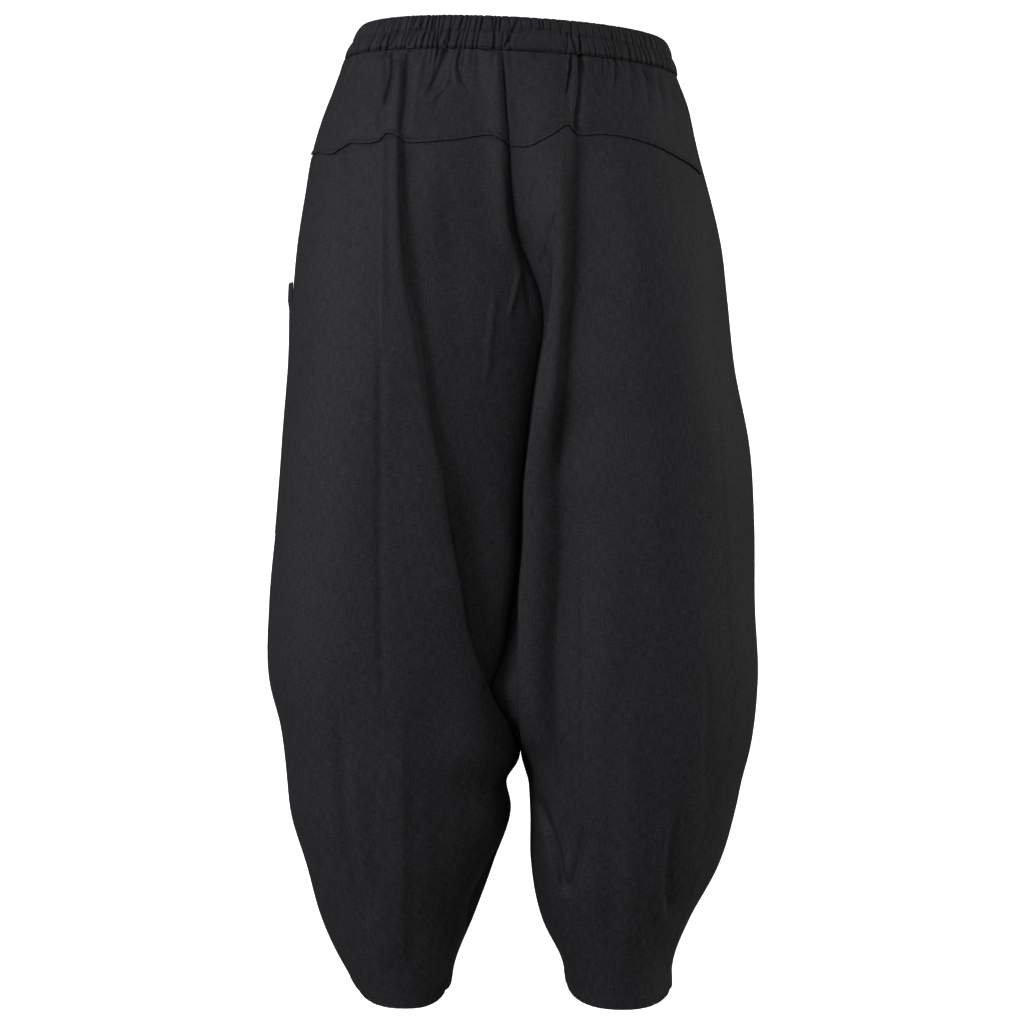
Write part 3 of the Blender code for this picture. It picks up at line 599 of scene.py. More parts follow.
@dataclass
class Gathers:
    """The small pleats that the elastic draws in round the waist.

    Each is a narrow trough at its own turn round the waist, with its own lean and depth. About
    half run through both channels of the band, and each falls its own way into the cloth below.
    """

    seed: int = 11
    count: int = 176
    round_radius: float = 127.0
    half_width: float = 150.0
    half_depth: float = 105.0
    power: float = 1.1
    uneven: float = 0.48
    depth: tuple[float, float] = (1.1, 2.7)
    softness: tuple[float, float] = (0.42, 0.8)
    swing: float = 0.236
    carried_depth: float = 0.9
    fall: tuple[float, float] = (7.0, 38.0)
    lean_left: float = -0.14
    lean_right: float = 0.10
    lean_spread: float = 0.13
    carried_on: float = 0.6
    shift: float = 0.02
    short_ones: float = 1.5
    lean_turn: float = 0.9
    reach_down: float = 2.2
    lean_below: float = 0.5
    wider_below: float = 1.1
    widens_over: float = 18.0
    fade: float = 1.6
    calm_window: tuple[float, float] = (-2.0, 50.0)
    calm_edge: float = 5.0
    calm: float = 0.12

    def __post_init__(self) -> None:
        """Draws the uneven places and sizes of all gathers."""
        chance = np.random.default_rng(self.seed)
        steps = chance.uniform(1.0 - self.uneven, 1.0 + self.uneven, self.count)
        self.turns = 2.0 * np.pi * np.cumsum(steps) / steps.sum()
        self.upper_depths = chance.uniform(*self.depth, self.count)
        self.lower_depths = chance.uniform(*self.depth, self.count)
        self.widths = chance.uniform(*self.softness, self.count)
        straight = chance.random(self.count) < self.carried_on
        self.jitter = np.where(straight, 0.0, chance.uniform(-self.shift, self.shift, self.count))
        lengths = chance.random(self.count) ** self.short_ones
        self.falls = self.fall[0] + (self.fall[1] - self.fall[0]) * lengths
        side = ease(0.5 - np.cos(self.turns) * self.lean_turn)
        lean = self.lean_right + (self.lean_left - self.lean_right) * side
        self.leans = lean + chance.uniform(-self.lean_spread, self.lean_spread, self.count)

    def turn_of(self, points: np.ndarray) -> np.ndarray:
        """Turn round the waist of each point, 0 at the wearer's right and a quarter at the front.

        Args:
            points: Points of the cloth.

        Returns:
            The turns in radians.
        """
        across = points[..., 0] / self.half_width
        deep = points[..., 1] / self.half_depth
        across = np.sign(across) * np.abs(across) ** self.power
        deep = np.sign(deep) * np.abs(deep) ** self.power
        return np.arctan2(deep, across)

    def calmness(self, points: np.ndarray) -> np.ndarray:
        """1 where the cloth is gathered, and less in the flat window at the centre back.

        Args:
            points: Points of the cloth.

        Returns:
            A share of the full gathers for each point.
        """
        low, high = self.calm_window
        from_low = ease((points[..., 0] - low) / self.calm_edge)
        inside = from_low * ease((high - points[..., 0]) / self.calm_edge)
        return 1.0 - (1.0 - self.calm) * inside * (points[..., 1] < 0.0)

    def offset(self, turn: np.ndarray, place: float, lean: float, down: np.ndarray) -> np.ndarray:
        """Millimetres round the waist from a gather that leans this much for each one down."""
        offset = turn - place - lean * down / self.round_radius
        return ((offset + np.pi) % (2.0 * np.pi) - np.pi) * self.round_radius

    def troughs(
        self, turn: np.ndarray, down: np.ndarray, depths: np.ndarray, places: np.ndarray, widen: float
    ) -> np.ndarray:
        """Sum of the troughs at each point.

        Args:
            turn: Turn round the waist of each point.
            down: Millimetres below the level where the gathers have their own turns.
            depths: Depth of each gather.
            places: Turn of each gather.
            widen: How much wider each gather gets per millimetre down.

        Returns:
            The lift of each point, zero or negative.
        """
        lift = np.zeros(turn.shape)
        back = np.where(np.sin(places) < 0.0, 1.0, -1.0)
        for place, depth, width, lean, facing in zip(places, depths, self.widths, self.leans, back):
            offset = self.offset(turn, place, facing * lean, down)
            lift -= depth * bell(offset, width * (1.0 + widen * down))
        return lift

    def below_band(self, points: np.ndarray, down: np.ndarray) -> np.ndarray:
        """Lift of the cloth below the band, by its distance below the band's seam.

        Args:
            points: Points of the cloth.
            down: Distance of each point below the band's seam.

        Returns:
            The lift of each point, zero or negative.
        """
        turn = self.turn_of(points)
        lift = np.zeros(turn.shape)
        near = down < self.fall[1] * self.reach_down
        down = down[near]
        places = self.turns + self.jitter + np.sign(-np.sin(self.turns)) * self.leans * self.swing
        back = np.where(np.sin(places) < 0.0, 1.0, -1.0)
        for place, depth, width, lean, facing, fall in zip(
            places, self.lower_depths, self.widths, self.leans, back, self.falls
        ):
            offset = self.offset(turn[near], place, facing * lean * self.lean_below, down)
            wide = width * (self.wider_below + down / self.widens_over)
            left = np.exp(-((down / fall) ** self.fade))
            lift[near] -= self.carried_depth * depth * left * bell(offset, wide)
        return lift * self.calmness(points)


GATHERS = Gathers()


@dataclass(frozen=True)
class SoftWaver:
    """Very slight uneven waves of cloth that has hung for a while, longer down than across."""

    seed: int = 5
    count: int = 26
    length: tuple[float, float] = (30.0, 120.0)
    height: float = 0.16
    growth: float = 1.2
    upright: float = 0.35
    round_side: float = 0.8

    def lift(self, points: np.ndarray) -> np.ndarray:
        """Lift of each point.

        Args:
            points: Points of the cloth.

        Returns:
            The lift of each point.
        """
        chance = np.random.default_rng(self.seed)
        lift = np.zeros(points.shape[:-1])
        around = points[..., 0] + self.round_side * points[..., 1]
        for _ in range(self.count):
            length = chance.uniform(*self.length)
            tilt = chance.uniform(-self.upright, self.upright)
            phase = chance.uniform(0.0, 2.0 * np.pi)
            size = self.height * (length / self.length[1]) ** self.growth
            wave = around * math.cos(tilt) + points[..., 2] * math.sin(tilt)
            lift += size * np.sin(2.0 * np.pi * wave / length + phase)
        return lift


@dataclass(frozen=True)
class Hem:
    """Bottom edge of a leg: its lowest point and its rise to both sides."""

    low_at: float
    low: float
    reach_out: float
    rise_out: float
    reach_in: float
    rise_in: float
    roundness: float = 0.98
    corner: float = 2.8

    def height(self, across: np.ndarray, outwards: int) -> np.ndarray:
        """Height of the bottom edge at each place across.

        Args:
            across: Places along X.
            outwards: Direction of the leg's outer side.

        Returns:
            The edge's heights.
        """
        offset = (across - self.low_at) * outwards
        reach = np.where(offset > 0.0, self.reach_out, self.reach_in)
        rise = np.where(offset > 0.0, self.rise_out, self.rise_in)
        share = np.clip(np.abs(offset) / reach, 0.0, 1.0)
        curve = (1.0 - self.roundness * share**self.corner) ** (1.0 / self.corner)
        return self.low + rise * (1.0 - curve)


# ------------ Finishes ------------


def linear(code: str, alpha: float = 1.0) -> tuple[float, float, float, float]:
    """A colour written as sRGB hex, as linear red, green and blue.

    Args:
        code: The colour, as #RRGGBB.
        alpha: Its alpha.

    Returns:
        The four linear values.
    """
    values = []
    for place in (1, 3, 5):
        value = int(code[place : place + 2], 16) / 255.0
        values.append(value / 12.92 if value <= 0.04045 else ((value + 0.055) / 1.055) ** 2.4)
    return values[0], values[1], values[2], alpha


def add_node(
    tree: NodeTree,
    kind: str,
    settings: dict[str | int, object] | None = None,
    links: dict[str | int, NodeSocket] | None = None,
) -> Node:
    """Adds a node with its settings and links.

    Args:
        tree: Node tree that the node goes into.
        kind: Blender's name for the kind of node.
        settings: Input values by socket name or number, and the node's own settings by name.
        links: Sockets that feed the node's inputs, by socket name or number.

    Returns:
        The new node.
    """
    node = tree.nodes.new(kind)
    for name, value in (settings or {}).items():
        if isinstance(name, int) or name in node.inputs:
            node.inputs[name].default_value = value
        else:
            setattr(node, name, value)
    for name, socket in (links or {}).items():
        tree.links.new(socket, node.inputs[name])
    return node


# Sockets of a colour Mix node by number, because their names repeat.
MIX_SHARE = 0
MIX_FIRST = 6
MIX_SECOND = 7
MIX_RESULT = 2


@dataclass(frozen=True)
class Finish:
    """What a piece is made of: a base tone flecked with a second one, and how it shines."""

    name: str
    base: str
    fleck: str
    roughness: float
    gloss: float
    ior: float = 1.5

    def material(self) -> Material:
        """The finish's material, made the first time that it is asked for.

        Returns:
            The material, the same one each time.
        """
        found = bpy.data.materials.get(self.name)
        if found is None:
            found = bpy.data.materials.new(self.name)
            found.use_nodes = True
            tree = found.node_tree
            shader = tree.nodes["Principled BSDF"]
            shader.inputs["Roughness"].default_value = self.roughness
            shader.inputs["IOR"].default_value = self.ior
            shader.inputs["Specular IOR Level"].default_value = self.gloss
            tones = {MIX_FIRST: linear(self.base), MIX_SECOND: linear(self.fleck)}
            share = {MIX_SHARE: self.pattern(tree, shader)}
            colour = add_node(tree, "ShaderNodeMix", {"data_type": "RGBA", **tones}, share)
            tree.links.new(colour.outputs[MIX_RESULT], shader.inputs["Base Color"])
        return found

    def pattern(self, tree: NodeTree, shader: Node) -> NodeSocket:
        """Adds the nodes that say how much of the second tone there is."""
        raise NotImplementedError

    def unevenness(self, tree: NodeTree, size: float, detail: float) -> NodeSocket:
        """A soft unevenness of one size.

        Args:
            tree: Node tree of the material.
            size: Size of its patches in millimetres.
            detail: How much finer unevenness lies on it.

        Returns:
            The share of the second tone.
        """
        place = add_node(tree, "ShaderNodeTexCoord")
        settings = {"Scale": 1.0 / (size * MM), "Detail": detail}
        tone = add_node(tree, "ShaderNodeTexNoise", settings, {"Vector": place.outputs["Object"]})
        return tone.outputs["Fac"]


@dataclass(frozen=True)
class WovenViscose(Finish):
    """Black viscose, plain woven from fine, slightly slubby yarn and piece dyed.

    The smooth yarn gives a soft, low sheen rather than a gloss. Its slubs show as short pale
    and dark streaks, long down the warp and shorter across the weft.
    """

    name: str = "plain_woven_black_viscose"
    base: str = "#0F0F12"
    fleck: str = "#2D2D31"
    roughness: float = 0.74
    gloss: float = 0.33
    ior: float = 1.46
    # The yarns lie 0.45 mm apart, too fine to show, so they are drawn this much apart.
    yarn: float = 0.72
    warp_slub: float = 12.0
    weft_slub: float = 7.0
    mottle: float = 45.0
    warp_show: float = 1.6
    weft_show: float = 1.6
    mottle_show: float = 0.2
    fineness: float = 0.6
    bump: float = 0.22
    bump_height: float = 0.00035

    def pattern(self, tree: NodeTree, shader: Node) -> NodeSocket:
        """Adds the yarns' streaks and their relief.

        Args:
            tree: Node tree of the material.
            shader: The material's shader.

        Returns:
            The share of the second tone.
        """
        warp = self.streaks(tree, (self.yarn, self.warp_slub), 2.0, self.warp_show, None)
        weft = self.streaks(tree, (self.weft_slub, self.yarn), 2.0, self.weft_show, warp)
        mottle = (self.mottle, self.mottle * 2.0)
        mottled = self.streaks(tree, mottle, 3.0, self.mottle_show, weft)
        settings = {"Strength": self.bump, "Distance": self.bump_height}
        relief = add_node(tree, "ShaderNodeBump", settings, {"Height": weft})
        tree.links.new(relief.outputs["Normal"], shader.inputs["Normal"])
        centre = (self.warp_show + self.weft_show + self.mottle_show) / 2.0
        settings = {"operation": "ADD", "use_clamp": True, 1: 0.5 - centre}
        return add_node(tree, "ShaderNodeMath", settings, {0: mottled}).outputs[0]

    def streaks(
        self,
        tree: NodeTree,
        size: tuple[float, float],
        detail: float,
        show: float,
        added: NodeSocket | None,
    ) -> NodeSocket:
        """Streaks of one kind in the cloth.

        Args:
            tree: Node tree of the material.
            size: A streak's size across and down the cloth in millimetres.
            detail: How much finer unevenness lies on it.
            show: How strongly the streaks show.
            added: Streaks that these are added to, where there are any.

        Returns:
            The streaks' value.
        """
        across, down = size
        scale = (1.0 / (across * MM), 1.0 / (down * MM), 1.0)
        cloth = add_node(tree, "ShaderNodeUVMap", {"uv_map": "cloth"})
        place = add_node(tree, "ShaderNodeMapping", {"Scale": scale}, {"Vector": cloth.outputs["UV"]})
        settings = {"noise_dimensions": "2D", "Scale": 1.0, "Detail": detail, "Roughness": self.fineness}
        noise = add_node(tree, "ShaderNodeTexNoise", settings, {"Vector": place.outputs["Vector"]})
        links = {0: noise.outputs["Fac"]}
        if added is not None:
            links[2] = added
        settings = {"operation": "MULTIPLY_ADD", 1: show, 2: 0.0}
        return add_node(tree, "ShaderNodeMath", settings, links).outputs[0]


@dataclass(frozen=True)
class SpunThread(Finish):
    """Black polyester sewing thread, spun and lightly waxed, a little glossier than the cloth."""

    name: str = "spun_black_sewing_thread"
    base: str = "#151517"
    fleck: str = "#242427"
    roughness: float = 0.6
    gloss: float = 0.35
    twist: float = 0.5

    def pattern(self, tree: NodeTree, shader: Node) -> NodeSocket:
        """The thread's uneven tone from twist to twist."""
        return self.unevenness(tree, self.twist, 1.0)


@dataclass(frozen=True)
class SeamlessPaper(Finish):
    """Matt white studio paper, rolled down and out under the subject: flat and hardly mottled."""

    name: str = "matt_white_studio_paper"
    base: str = "#F7F7F7"
    fleck: str = "#F4F4F4"
    roughness: float = 0.95
    gloss: float = 0.1
    fibre: float = 400.0

    def pattern(self, tree: NodeTree, shader: Node) -> NodeSocket:
        """A very faint unevenness."""
        return self.unevenness(tree, self.fibre, 2.0)


# ------------ Meshes ------------


def grid_normals(grid: np.ndarray, hand: int) -> np.ndarray:
    """Unit normals of a grid of points.

    Args:
        grid: Rows by columns by (x, y, z), rows running down.
        hand: 1 where columns by rows turn out of the cloth, otherwise -1.

    Returns:
        One unit normal for each point.
    """
    along = np.gradient(grid, axis=1)
    down = np.gradient(grid, axis=0)
    normals = np.cross(along, down) * hand
    return normals / np.maximum(np.linalg.norm(normals, axis=2, keepdims=True), 1e-9)


def wrap_normals(grid: np.ndarray, hand: int) -> np.ndarray:
    """Unit normals of a grid whose last column joins its first."""
    wide = np.concatenate((grid[:, -1:], grid, grid[:, :1]), axis=1)
    return grid_normals(wide, hand)[:, 1:-1]


def place_object(name: str, data: ID) -> Object:
    """Puts a mesh, a light or a camera into the scene.

    Args:
        name: The object's name.
        data: What the object shows.

    Returns:
        The new object.
    """
    made = bpy.data.objects.new(name, data)
    bpy.context.scene.collection.objects.link(made)
    return made


@dataclass
class Shell:
    """A closed thin shell between an outer grid and an inner grid with half as many columns.

    An open panel's inner grid also has half as many rows. A ring's may have any number.
    """

    name: str
    outer: np.ndarray
    inner: np.ndarray
    outer_uv: np.ndarray
    inner_uv: np.ndarray
    hand: int
    ring: bool = False
    sharp_angle: float = 62.0

    def faces(self) -> list[list[int]]:
        """All faces as lists of point numbers.

        Returns:
            The faces of both grids and of the rim.
        """
        made: list[list[int]] = []
        rows, columns = self.outer.shape[:2]
        inner_rows, inner_columns = self.inner.shape[:2]
        outer_ids = np.arange(rows * columns).reshape(rows, columns)
        inner_ids = rows * columns + np.arange(inner_rows * inner_columns)
        inner_ids = inner_ids.reshape(inner_rows, inner_columns)
        if self.ring:
            outer_ids = np.concatenate((outer_ids, outer_ids[:, :1]), axis=1)
            inner_ids = np.concatenate((inner_ids, inner_ids[:, :1]), axis=1)
        for ids, turned in ((outer_ids, self.hand > 0), (inner_ids, self.hand < 0)):
            corners = [ids[:-1, :-1], ids[1:, :-1], ids[1:, 1:], ids[:-1, 1:]]
            if turned:
                corners.reverse()
            made += np.stack([corner.ravel() for corner in corners], axis=1).tolist()
        for outer_edge, inner_edge in self.edges(outer_ids, inner_ids):
            for place in range(len(inner_edge) - 1):
                start = 2 * place
                face = [*outer_edge[start : start + 3], inner_edge[place + 1], inner_edge[place]]
                made.append(face[::-1] if self.hand > 0 else face)
        return made

    def edges(self, outer_ids: np.ndarray, inner_ids: np.ndarray) -> list[tuple[list[int], list[int]]]:
        """Pairs of outer and inner edge lines that the rim joins.

        Args:
            outer_ids: Point numbers of the outer grid.
            inner_ids: Point numbers of the inner grid.

        Returns:
            The outer and the inner line of each edge.
        """
        pairs = [
            (outer_ids[0].tolist(), inner_ids[0].tolist()),
            (outer_ids[-1][::-1].tolist(), inner_ids[-1][::-1].tolist()),
        ]
        if not self.ring:
            pairs.append((outer_ids[:, -1].tolist(), inner_ids[:, -1].tolist()))
            pairs.append((outer_ids[::-1, 0].tolist(), inner_ids[::-1, 0].tolist()))
        return pairs

    def build(self) -> Object:
        """The shell as a mesh object with its cloth UV map in metres.

        Returns:
            The new object.
        """
        points = np.concatenate((self.outer.reshape(-1, 3), self.inner.reshape(-1, 3))) * MM
        cloth = np.concatenate((self.outer_uv.reshape(-1, 2), self.inner_uv.reshape(-1, 2))) * MM
        mesh = bpy.data.meshes.new(self.name)
        mesh.from_pydata(points.tolist(), [], self.faces())
        corners = np.empty(len(mesh.loops), dtype=np.int32)
        mesh.loops.foreach_get("vertex_index", corners)
        values = cloth[corners]
        if self.ring:
            self.close_round(mesh, values)
        layer = mesh.uv_layers.new(name="cloth")
        layer.data.foreach_set("uv", values.ravel())
        mesh.shade_smooth()
        mesh.set_sharp_from_angle(angle=math.radians(self.sharp_angle))
        return place_object(self.name, mesh)

    def close_round(self, mesh: Mesh, values: np.ndarray) -> None:
        """Carries the UV map on past the last column, so that the joining faces aren't smeared.

        Args:
            mesh: The ring's mesh.
            values: UV of each corner, changed in place.
        """
        length = float(self.outer_uv[..., 0].max()) * MM
        for polygon in mesh.polygons:
            span = slice(polygon.loop_start, polygon.loop_start + polygon.loop_total)
            across = values[span, 0]
            if across.max() - across.min() > length / 2.0:
                across[across < length / 2.0] += length


def edge_distance(grid: np.ndarray, edge: Edge) -> np.ndarray:
    """Distance of each grid point from one edge, measured along the cloth.

    Args:
        grid: Outer points, rows by columns.
        edge: The panel's edge.

    Returns:
        The distance of each point in millimetres.
    """
    axis = 0 if edge in ACROSS_EDGES else 1
    steps = np.linalg.norm(np.diff(grid, axis=axis), axis=2)
    zero = np.zeros_like(np.take(steps, [0], axis=axis))
    lengths = np.concatenate((zero, np.cumsum(steps, axis=axis)), axis=axis)
    if edge in FAR_EDGES:
        lengths = np.take(lengths, [-1], axis=axis) - lengths
    return lengths


def mean_down(grid: np.ndarray) -> np.ndarray:
    """Mean length down a grid's columns, from its first row to each point."""
    steps = np.linalg.norm(np.diff(grid, axis=0), axis=2).mean(axis=1)
    return np.concatenate(([0.0], np.cumsum(steps)))[:, None] + np.zeros(grid.shape[:2])


def line_on_grid(
    grid: np.ndarray, normals: np.ndarray, distance: float, from_end: bool
) -> tuple[np.ndarray, np.ndarray]:
    """A line on the cloth at an even distance from its first or last row.

    Args:
        grid: Outer points, rows by columns.
        normals: Normal of each point.
        distance: Distance from the edge, measured down or up each column.
        from_end: True to measure up from the last row.

    Returns:
        The line's points and normals, one for each column.
    """
    if from_end:
        grid = grid[::-1]
        normals = normals[::-1]
    columns = edge_distance(grid, Edge.TOP).T
    points, facing = (
        np.array([read_line(distance, down, values[:, place]) for place, down in enumerate(columns)])
        for values in (grid, normals)
    )
    return points, facing


@dataclass
class Stitching:
    """Rows of lockstitch, joined into one mesh: each stitch is a small rounded bar of thread."""

    name: str
    stitch: float = 2.6
    gap: float = 0.7
    thread: float = 0.38
    sides: int = 5
    # Each stitch's rings: part of the way along it, share of the thread's width, and how far
    # the ring's middle stands off the cloth in thread widths.
    rings: tuple[tuple[float, float, float], ...] = (
        (0.0, 0.35, -0.2),
        (0.16, 1.0, 0.25),
        (0.84, 1.0, 0.25),
        (1.0, 0.35, -0.2),
    )
    points: list[np.ndarray] = field(default_factory=list)
    faces: list[list[int]] = field(default_factory=list)

    def add_row(self, line: np.ndarray, facing: np.ndarray) -> None:
        """Sews one row of stitches along a line of points with their normals.

        Args:
            line: Points along the row.
            facing: The cloth's normal at each.
        """
        lengths = lengths_along(line)
        count = int(lengths[-1] / (self.stitch + self.gap))
        for number in range(count):
            start = number * (self.stitch + self.gap) + self.gap / 2.0
            reads = start + self.stitch * np.array([ring[0] for ring in self.rings])
            self.add_bar(read_line(reads, lengths, line), read_line(reads, lengths, facing))

    def add_bar(self, middle: np.ndarray, out: np.ndarray) -> None:
        """Adds one stitch, thinner at both ends.

        Args:
            middle: Middle of each of its rings.
            out: The cloth's normal at each.
        """
        along = middle[-1] - middle[0]
        along /= np.linalg.norm(along)
        first = len(self.points) * self.sides
        for place, (_, swell, rise) in enumerate(self.rings):
            normal = out[place] / np.linalg.norm(out[place])
            across = np.cross(along, normal)
            radius = self.thread / 2.0 * swell
            centre = middle[place] + normal * (self.thread * rise)
            turns = 2.0 * np.pi * np.arange(self.sides) / self.sides
            ring = centre + radius * (np.cos(turns)[:, None] * across + np.sin(turns)[:, None] * normal)
            self.points.append(ring)
        last = len(self.rings) - 1
        for ring in range(last):
            for place in range(self.sides):
                beyond = (place + 1) % self.sides
                low = first + ring * self.sides
                high = low + self.sides
                self.faces.append([low + place, low + beyond, high + beyond, high + place])
        self.faces.append([first + place for place in range(self.sides)][::-1])
        self.faces.append([first + last * self.sides + place for place in range(self.sides)])

    def build(self) -> Object:
        """All the rows as one mesh object.

        Returns:
            The new object.
        """
        mesh = bpy.data.meshes.new(self.name)
        mesh.from_pydata((np.concatenate(self.points) * MM).tolist(), [], self.faces)
        mesh.shade_smooth()
        return place_object(self.name, mesh)


# ------------ The leg form and its cut pieces ------------


def waist_oval(height: float) -> dict[str, float]:
    """Half widths, half depths and squareness of the waist's plain oval at one height.

    Args:
        height: The height to read.

    Returns:
        Each size by its name.
    """
    level = np.array([height])
    oval = {name: float(DEPTH.read(name, level)[0]) for name in DEPTH.columns[1:]}
    oval["right"] = float(RIGHT_TUBE.read("outer", level)[0])
    oval["left"] = float(-LEFT_TUBE.read("outer", level)[0])
    return oval


def tube_point(tube: dict[str, np.ndarray], level: int, turn: float | np.ndarray) -> np.ndarray:
    """Point of a leg's rounded tube; the turn is 0 at the side and 90 degrees at the back.

    Args:
        tube: The tube's sizes at all levels, by name.
        level: Number of the level.
        turn: One turn or more, in radians.

    Returns:
        The (across, depth) of each turn.
    """
    cosine = np.cos(turn)
    sine = np.sin(turn)
    power = 2.0 / np.where(cosine >= 0.0, tube["square"][level], tube["corner"][level])
    reach = np.where(cosine >= 0.0, tube["outer"][level], tube["inner"][level]) - tube["crown"][level]
    depth = np.where(sine >= 0.0, -tube["back"][level], tube["front"][level])
    across = tube["crown"][level] + reach * np.abs(cosine) ** power
    return np.stack((across, depth * np.abs(sine) ** power), axis=-1)


@dataclass
class LegForm:
    """One face of one leg, as a fine grid of points from its centre seam to its side seam."""

    side: Side
    face: Face
    tube: Table
    fold: Table
    valley: Table
    hem: Hem
    folds: tuple[Fold, ...]
    columns: int
    # Rows down to the yoke seam, from there to the crotch, and on to the hem.
    rows: tuple[int, int, int]
    level_step: float = 3.0
    top_level: float = 24.0
    low_level: float = -900.0
    band_height: float = 30.0
    band_tilt: float = 0.05
    yoke_level: float = -100.0
    crotch: float = -659.0
    hem_level: float = -890.0
    closing_drop: float = 34.0
    tucked_up: float = 3.0
    seam_room: float = -2.1
    seam_rise: float = 0.8
    band_inset: float = 0.7
    lip_crowd: float = 1.5
    inner_corner: tuple[float, float] = (0.89, 0.80)
    farthest_in: float = 0.99
    raw_counts: tuple[int, int, int] = (150, 50, 300)
    rounding: int = 7
    crowding: float = 2.6
    level_rounding: int = 80
    crowd_reach: float = 6.0
    fine_limit: float = 2.5
    turn_over: float = 24.0
    seam_hold: float = 5.0
    band_blend: float = 42.0
    settling: int = 4
    waves_below: float = 60.0

    @property
    def hand(self) -> int:
        """1 where columns by rows turn out of the cloth, otherwise -1."""
        return self.side.value * self.face.value

    def section(self, read: dict[str, dict[str, np.ndarray]], level: int, closed: float) -> np.ndarray:
        """The raw outline of this face at one level, from the centre seam to the side seam.

        Args:
            read: The tube, fold and valley tables read at all levels.
            level: Number of the level.
            closed: 0 above the crotch and 1 where the leg is a closed tube.

        Returns:
            The outline's (across, depth) points.
        """
        tube, fold, valley = read["tube"], read["fold"], read["valley"]
        face = self.face.value
        side_turn = np.radians(tube["seam"][level])
        centre_turn = -face * np.pi
        offset = fold["edge"][level] - tube["crown"][level]
        share_out = offset / (tube["outer"][level] - tube["crown"][level])
        share_in = offset / (tube["inner"][level] - tube["crown"][level])
        outwards = max(share_out, 0.0) ** (tube["square"][level] / 2.0)
        inwards = min(max(share_in, 0.0), self.farthest_in) ** (tube["corner"][level] / 2.0)
        edge_turn = -face * np.arccos(outwards - inwards)
        edge = tube_point(tube, level, edge_turn)
        seam = np.array((valley["across"][level], valley["depth"][level]))
        towards_centre = np.sign(tube["inner"][level] - tube["outer"][level])
        foot_across = edge[0] + towards_centre * fold["beyond"][level]
        foot = np.array((foot_across, edge[1] + fold["step"][level] * (seam[1] - edge[1])))
        counts = self.raw_counts
        open_parts = (
            self.bent_line(seam, foot, face * fold["lip"][level], fold["lip_at"][level], counts[0]),
            self.bent_line(foot, edge, 0.0, 0.5, counts[1]),
        )
        foot_turn = centre_turn * self.inner_corner[0]
        round_turn = centre_turn * self.inner_corner[1]
        closed_parts = (
            tube_point(tube, level, np.linspace(centre_turn, foot_turn, counts[0] + 1)),
            tube_point(tube, level, np.linspace(foot_turn, round_turn, counts[1] + 1)),
        )
        from_turn = edge_turn * (1.0 - closed) + round_turn * closed
        turns = np.linspace(from_turn, side_turn, counts[2] + 1)
        turned = evenly(tube_point(tube, level, turns), counts[2])
        shut, corner = (
            evenly(a, count) * (1.0 - closed) + evenly(b, count) * closed
            for a, b, count in zip(open_parts, closed_parts, counts)
        )
        corner = corner + (turned[0] - corner[-1]) * np.linspace(0.0, 1.0, counts[1] + 1)[:, None]
        return np.concatenate((shut, corner[1:], turned[1:]))

    def bent_line(
        self, start: np.ndarray, end: np.ndarray, bulge: float, peak: float, count: int
    ) -> np.ndarray:
        """A line between two points that bulges along Y, most at the peak's part of the way.

        Args:
            start: Its first point.
            end: Its last point.
            bulge: How far it bulges.
            peak: Where it bulges most, from 0 to 1.
            count: Number of its steps.

        Returns:
            The line's points.
        """
        t = np.linspace(0.0, 1.0, count + 1)[:, None] ** self.lip_crowd
        line = start * (1.0 - t) + end * t
        skew = math.log(0.5) / math.log(peak)
        line[:, 1] += bulge * np.sin(np.pi * t**skew)[:, 0]
        return line

    def soften(self, outline: np.ndarray) -> np.ndarray:
        """Rounds the outline's corners, with both ends held.

        Args:
            outline: Points of the outline.

        Returns:
            The rounded outline.
        """
        for _ in range(self.rounding):
            outline = smoothed(outline)
        return outline

    def closeness(self, levels: np.ndarray, fine: np.ndarray) -> np.ndarray:
        """How close together the columns stand along each outline, closer where a fine fold runs.

        Args:
            levels: Height of each outline.
            fine: Evenly spaced outlines, levels by points by (across, depth).

        Returns:
            A weight for each point, changing smoothly from level to level.
        """
        weight = np.ones(fine.shape[:2])
        on_face = ease(fine[..., 1] * self.face.value / self.turn_over + 0.5)
        for fold in self.folds:
            if min(fold.left, fold.right) < self.fine_limit:
                offset = fine[..., 0] - fold.middle(levels)[:, None]
                near = bell(offset, self.crowd_reach) * on_face
                weight += self.crowding * fold.strength(levels)[:, None] * near
        for _ in range(self.level_rounding):
            weight = smoothed(weight)
        return weight

    def crowded(self, outline: np.ndarray, weight: np.ndarray) -> np.ndarray:
        """Places the columns along one outline by its weights.

        Args:
            outline: Evenly spaced points.
            weight: Their weights.

        Returns:
            A point for each column.
        """
        total = np.concatenate(([0.0], np.cumsum((weight[1:] + weight[:-1]) / 2.0)))
        wanted = np.linspace(0.0, total[-1], self.columns + 1)
        return read_line(wanted, total, outline)

    def outlines(self, levels: np.ndarray) -> np.ndarray:
        """The placed columns at every level: levels by columns by (across, depth).

        Args:
            levels: Height of each outline.

        Returns:
            An (across, depth) for each level and column.
        """
        tube = self.tube.read_all(levels)
        tube.update(DEPTH.read_all(levels))
        read = {"tube": tube, "fold": self.fold.read_all(levels), "valley": self.valley.read_all(levels)}
        closing = ease((self.crotch - levels) / self.closing_drop)
        count = sum(self.raw_counts)
        fine = []
        for level in range(len(levels)):
            outline = self.section(read, level, closing[level])
            fine.append(evenly(self.soften(evenly(outline, count)), count))
        weights = self.closeness(levels, np.array(fine))
        return np.array([self.crowded(outline, weight) for outline, weight in zip(fine, weights)])

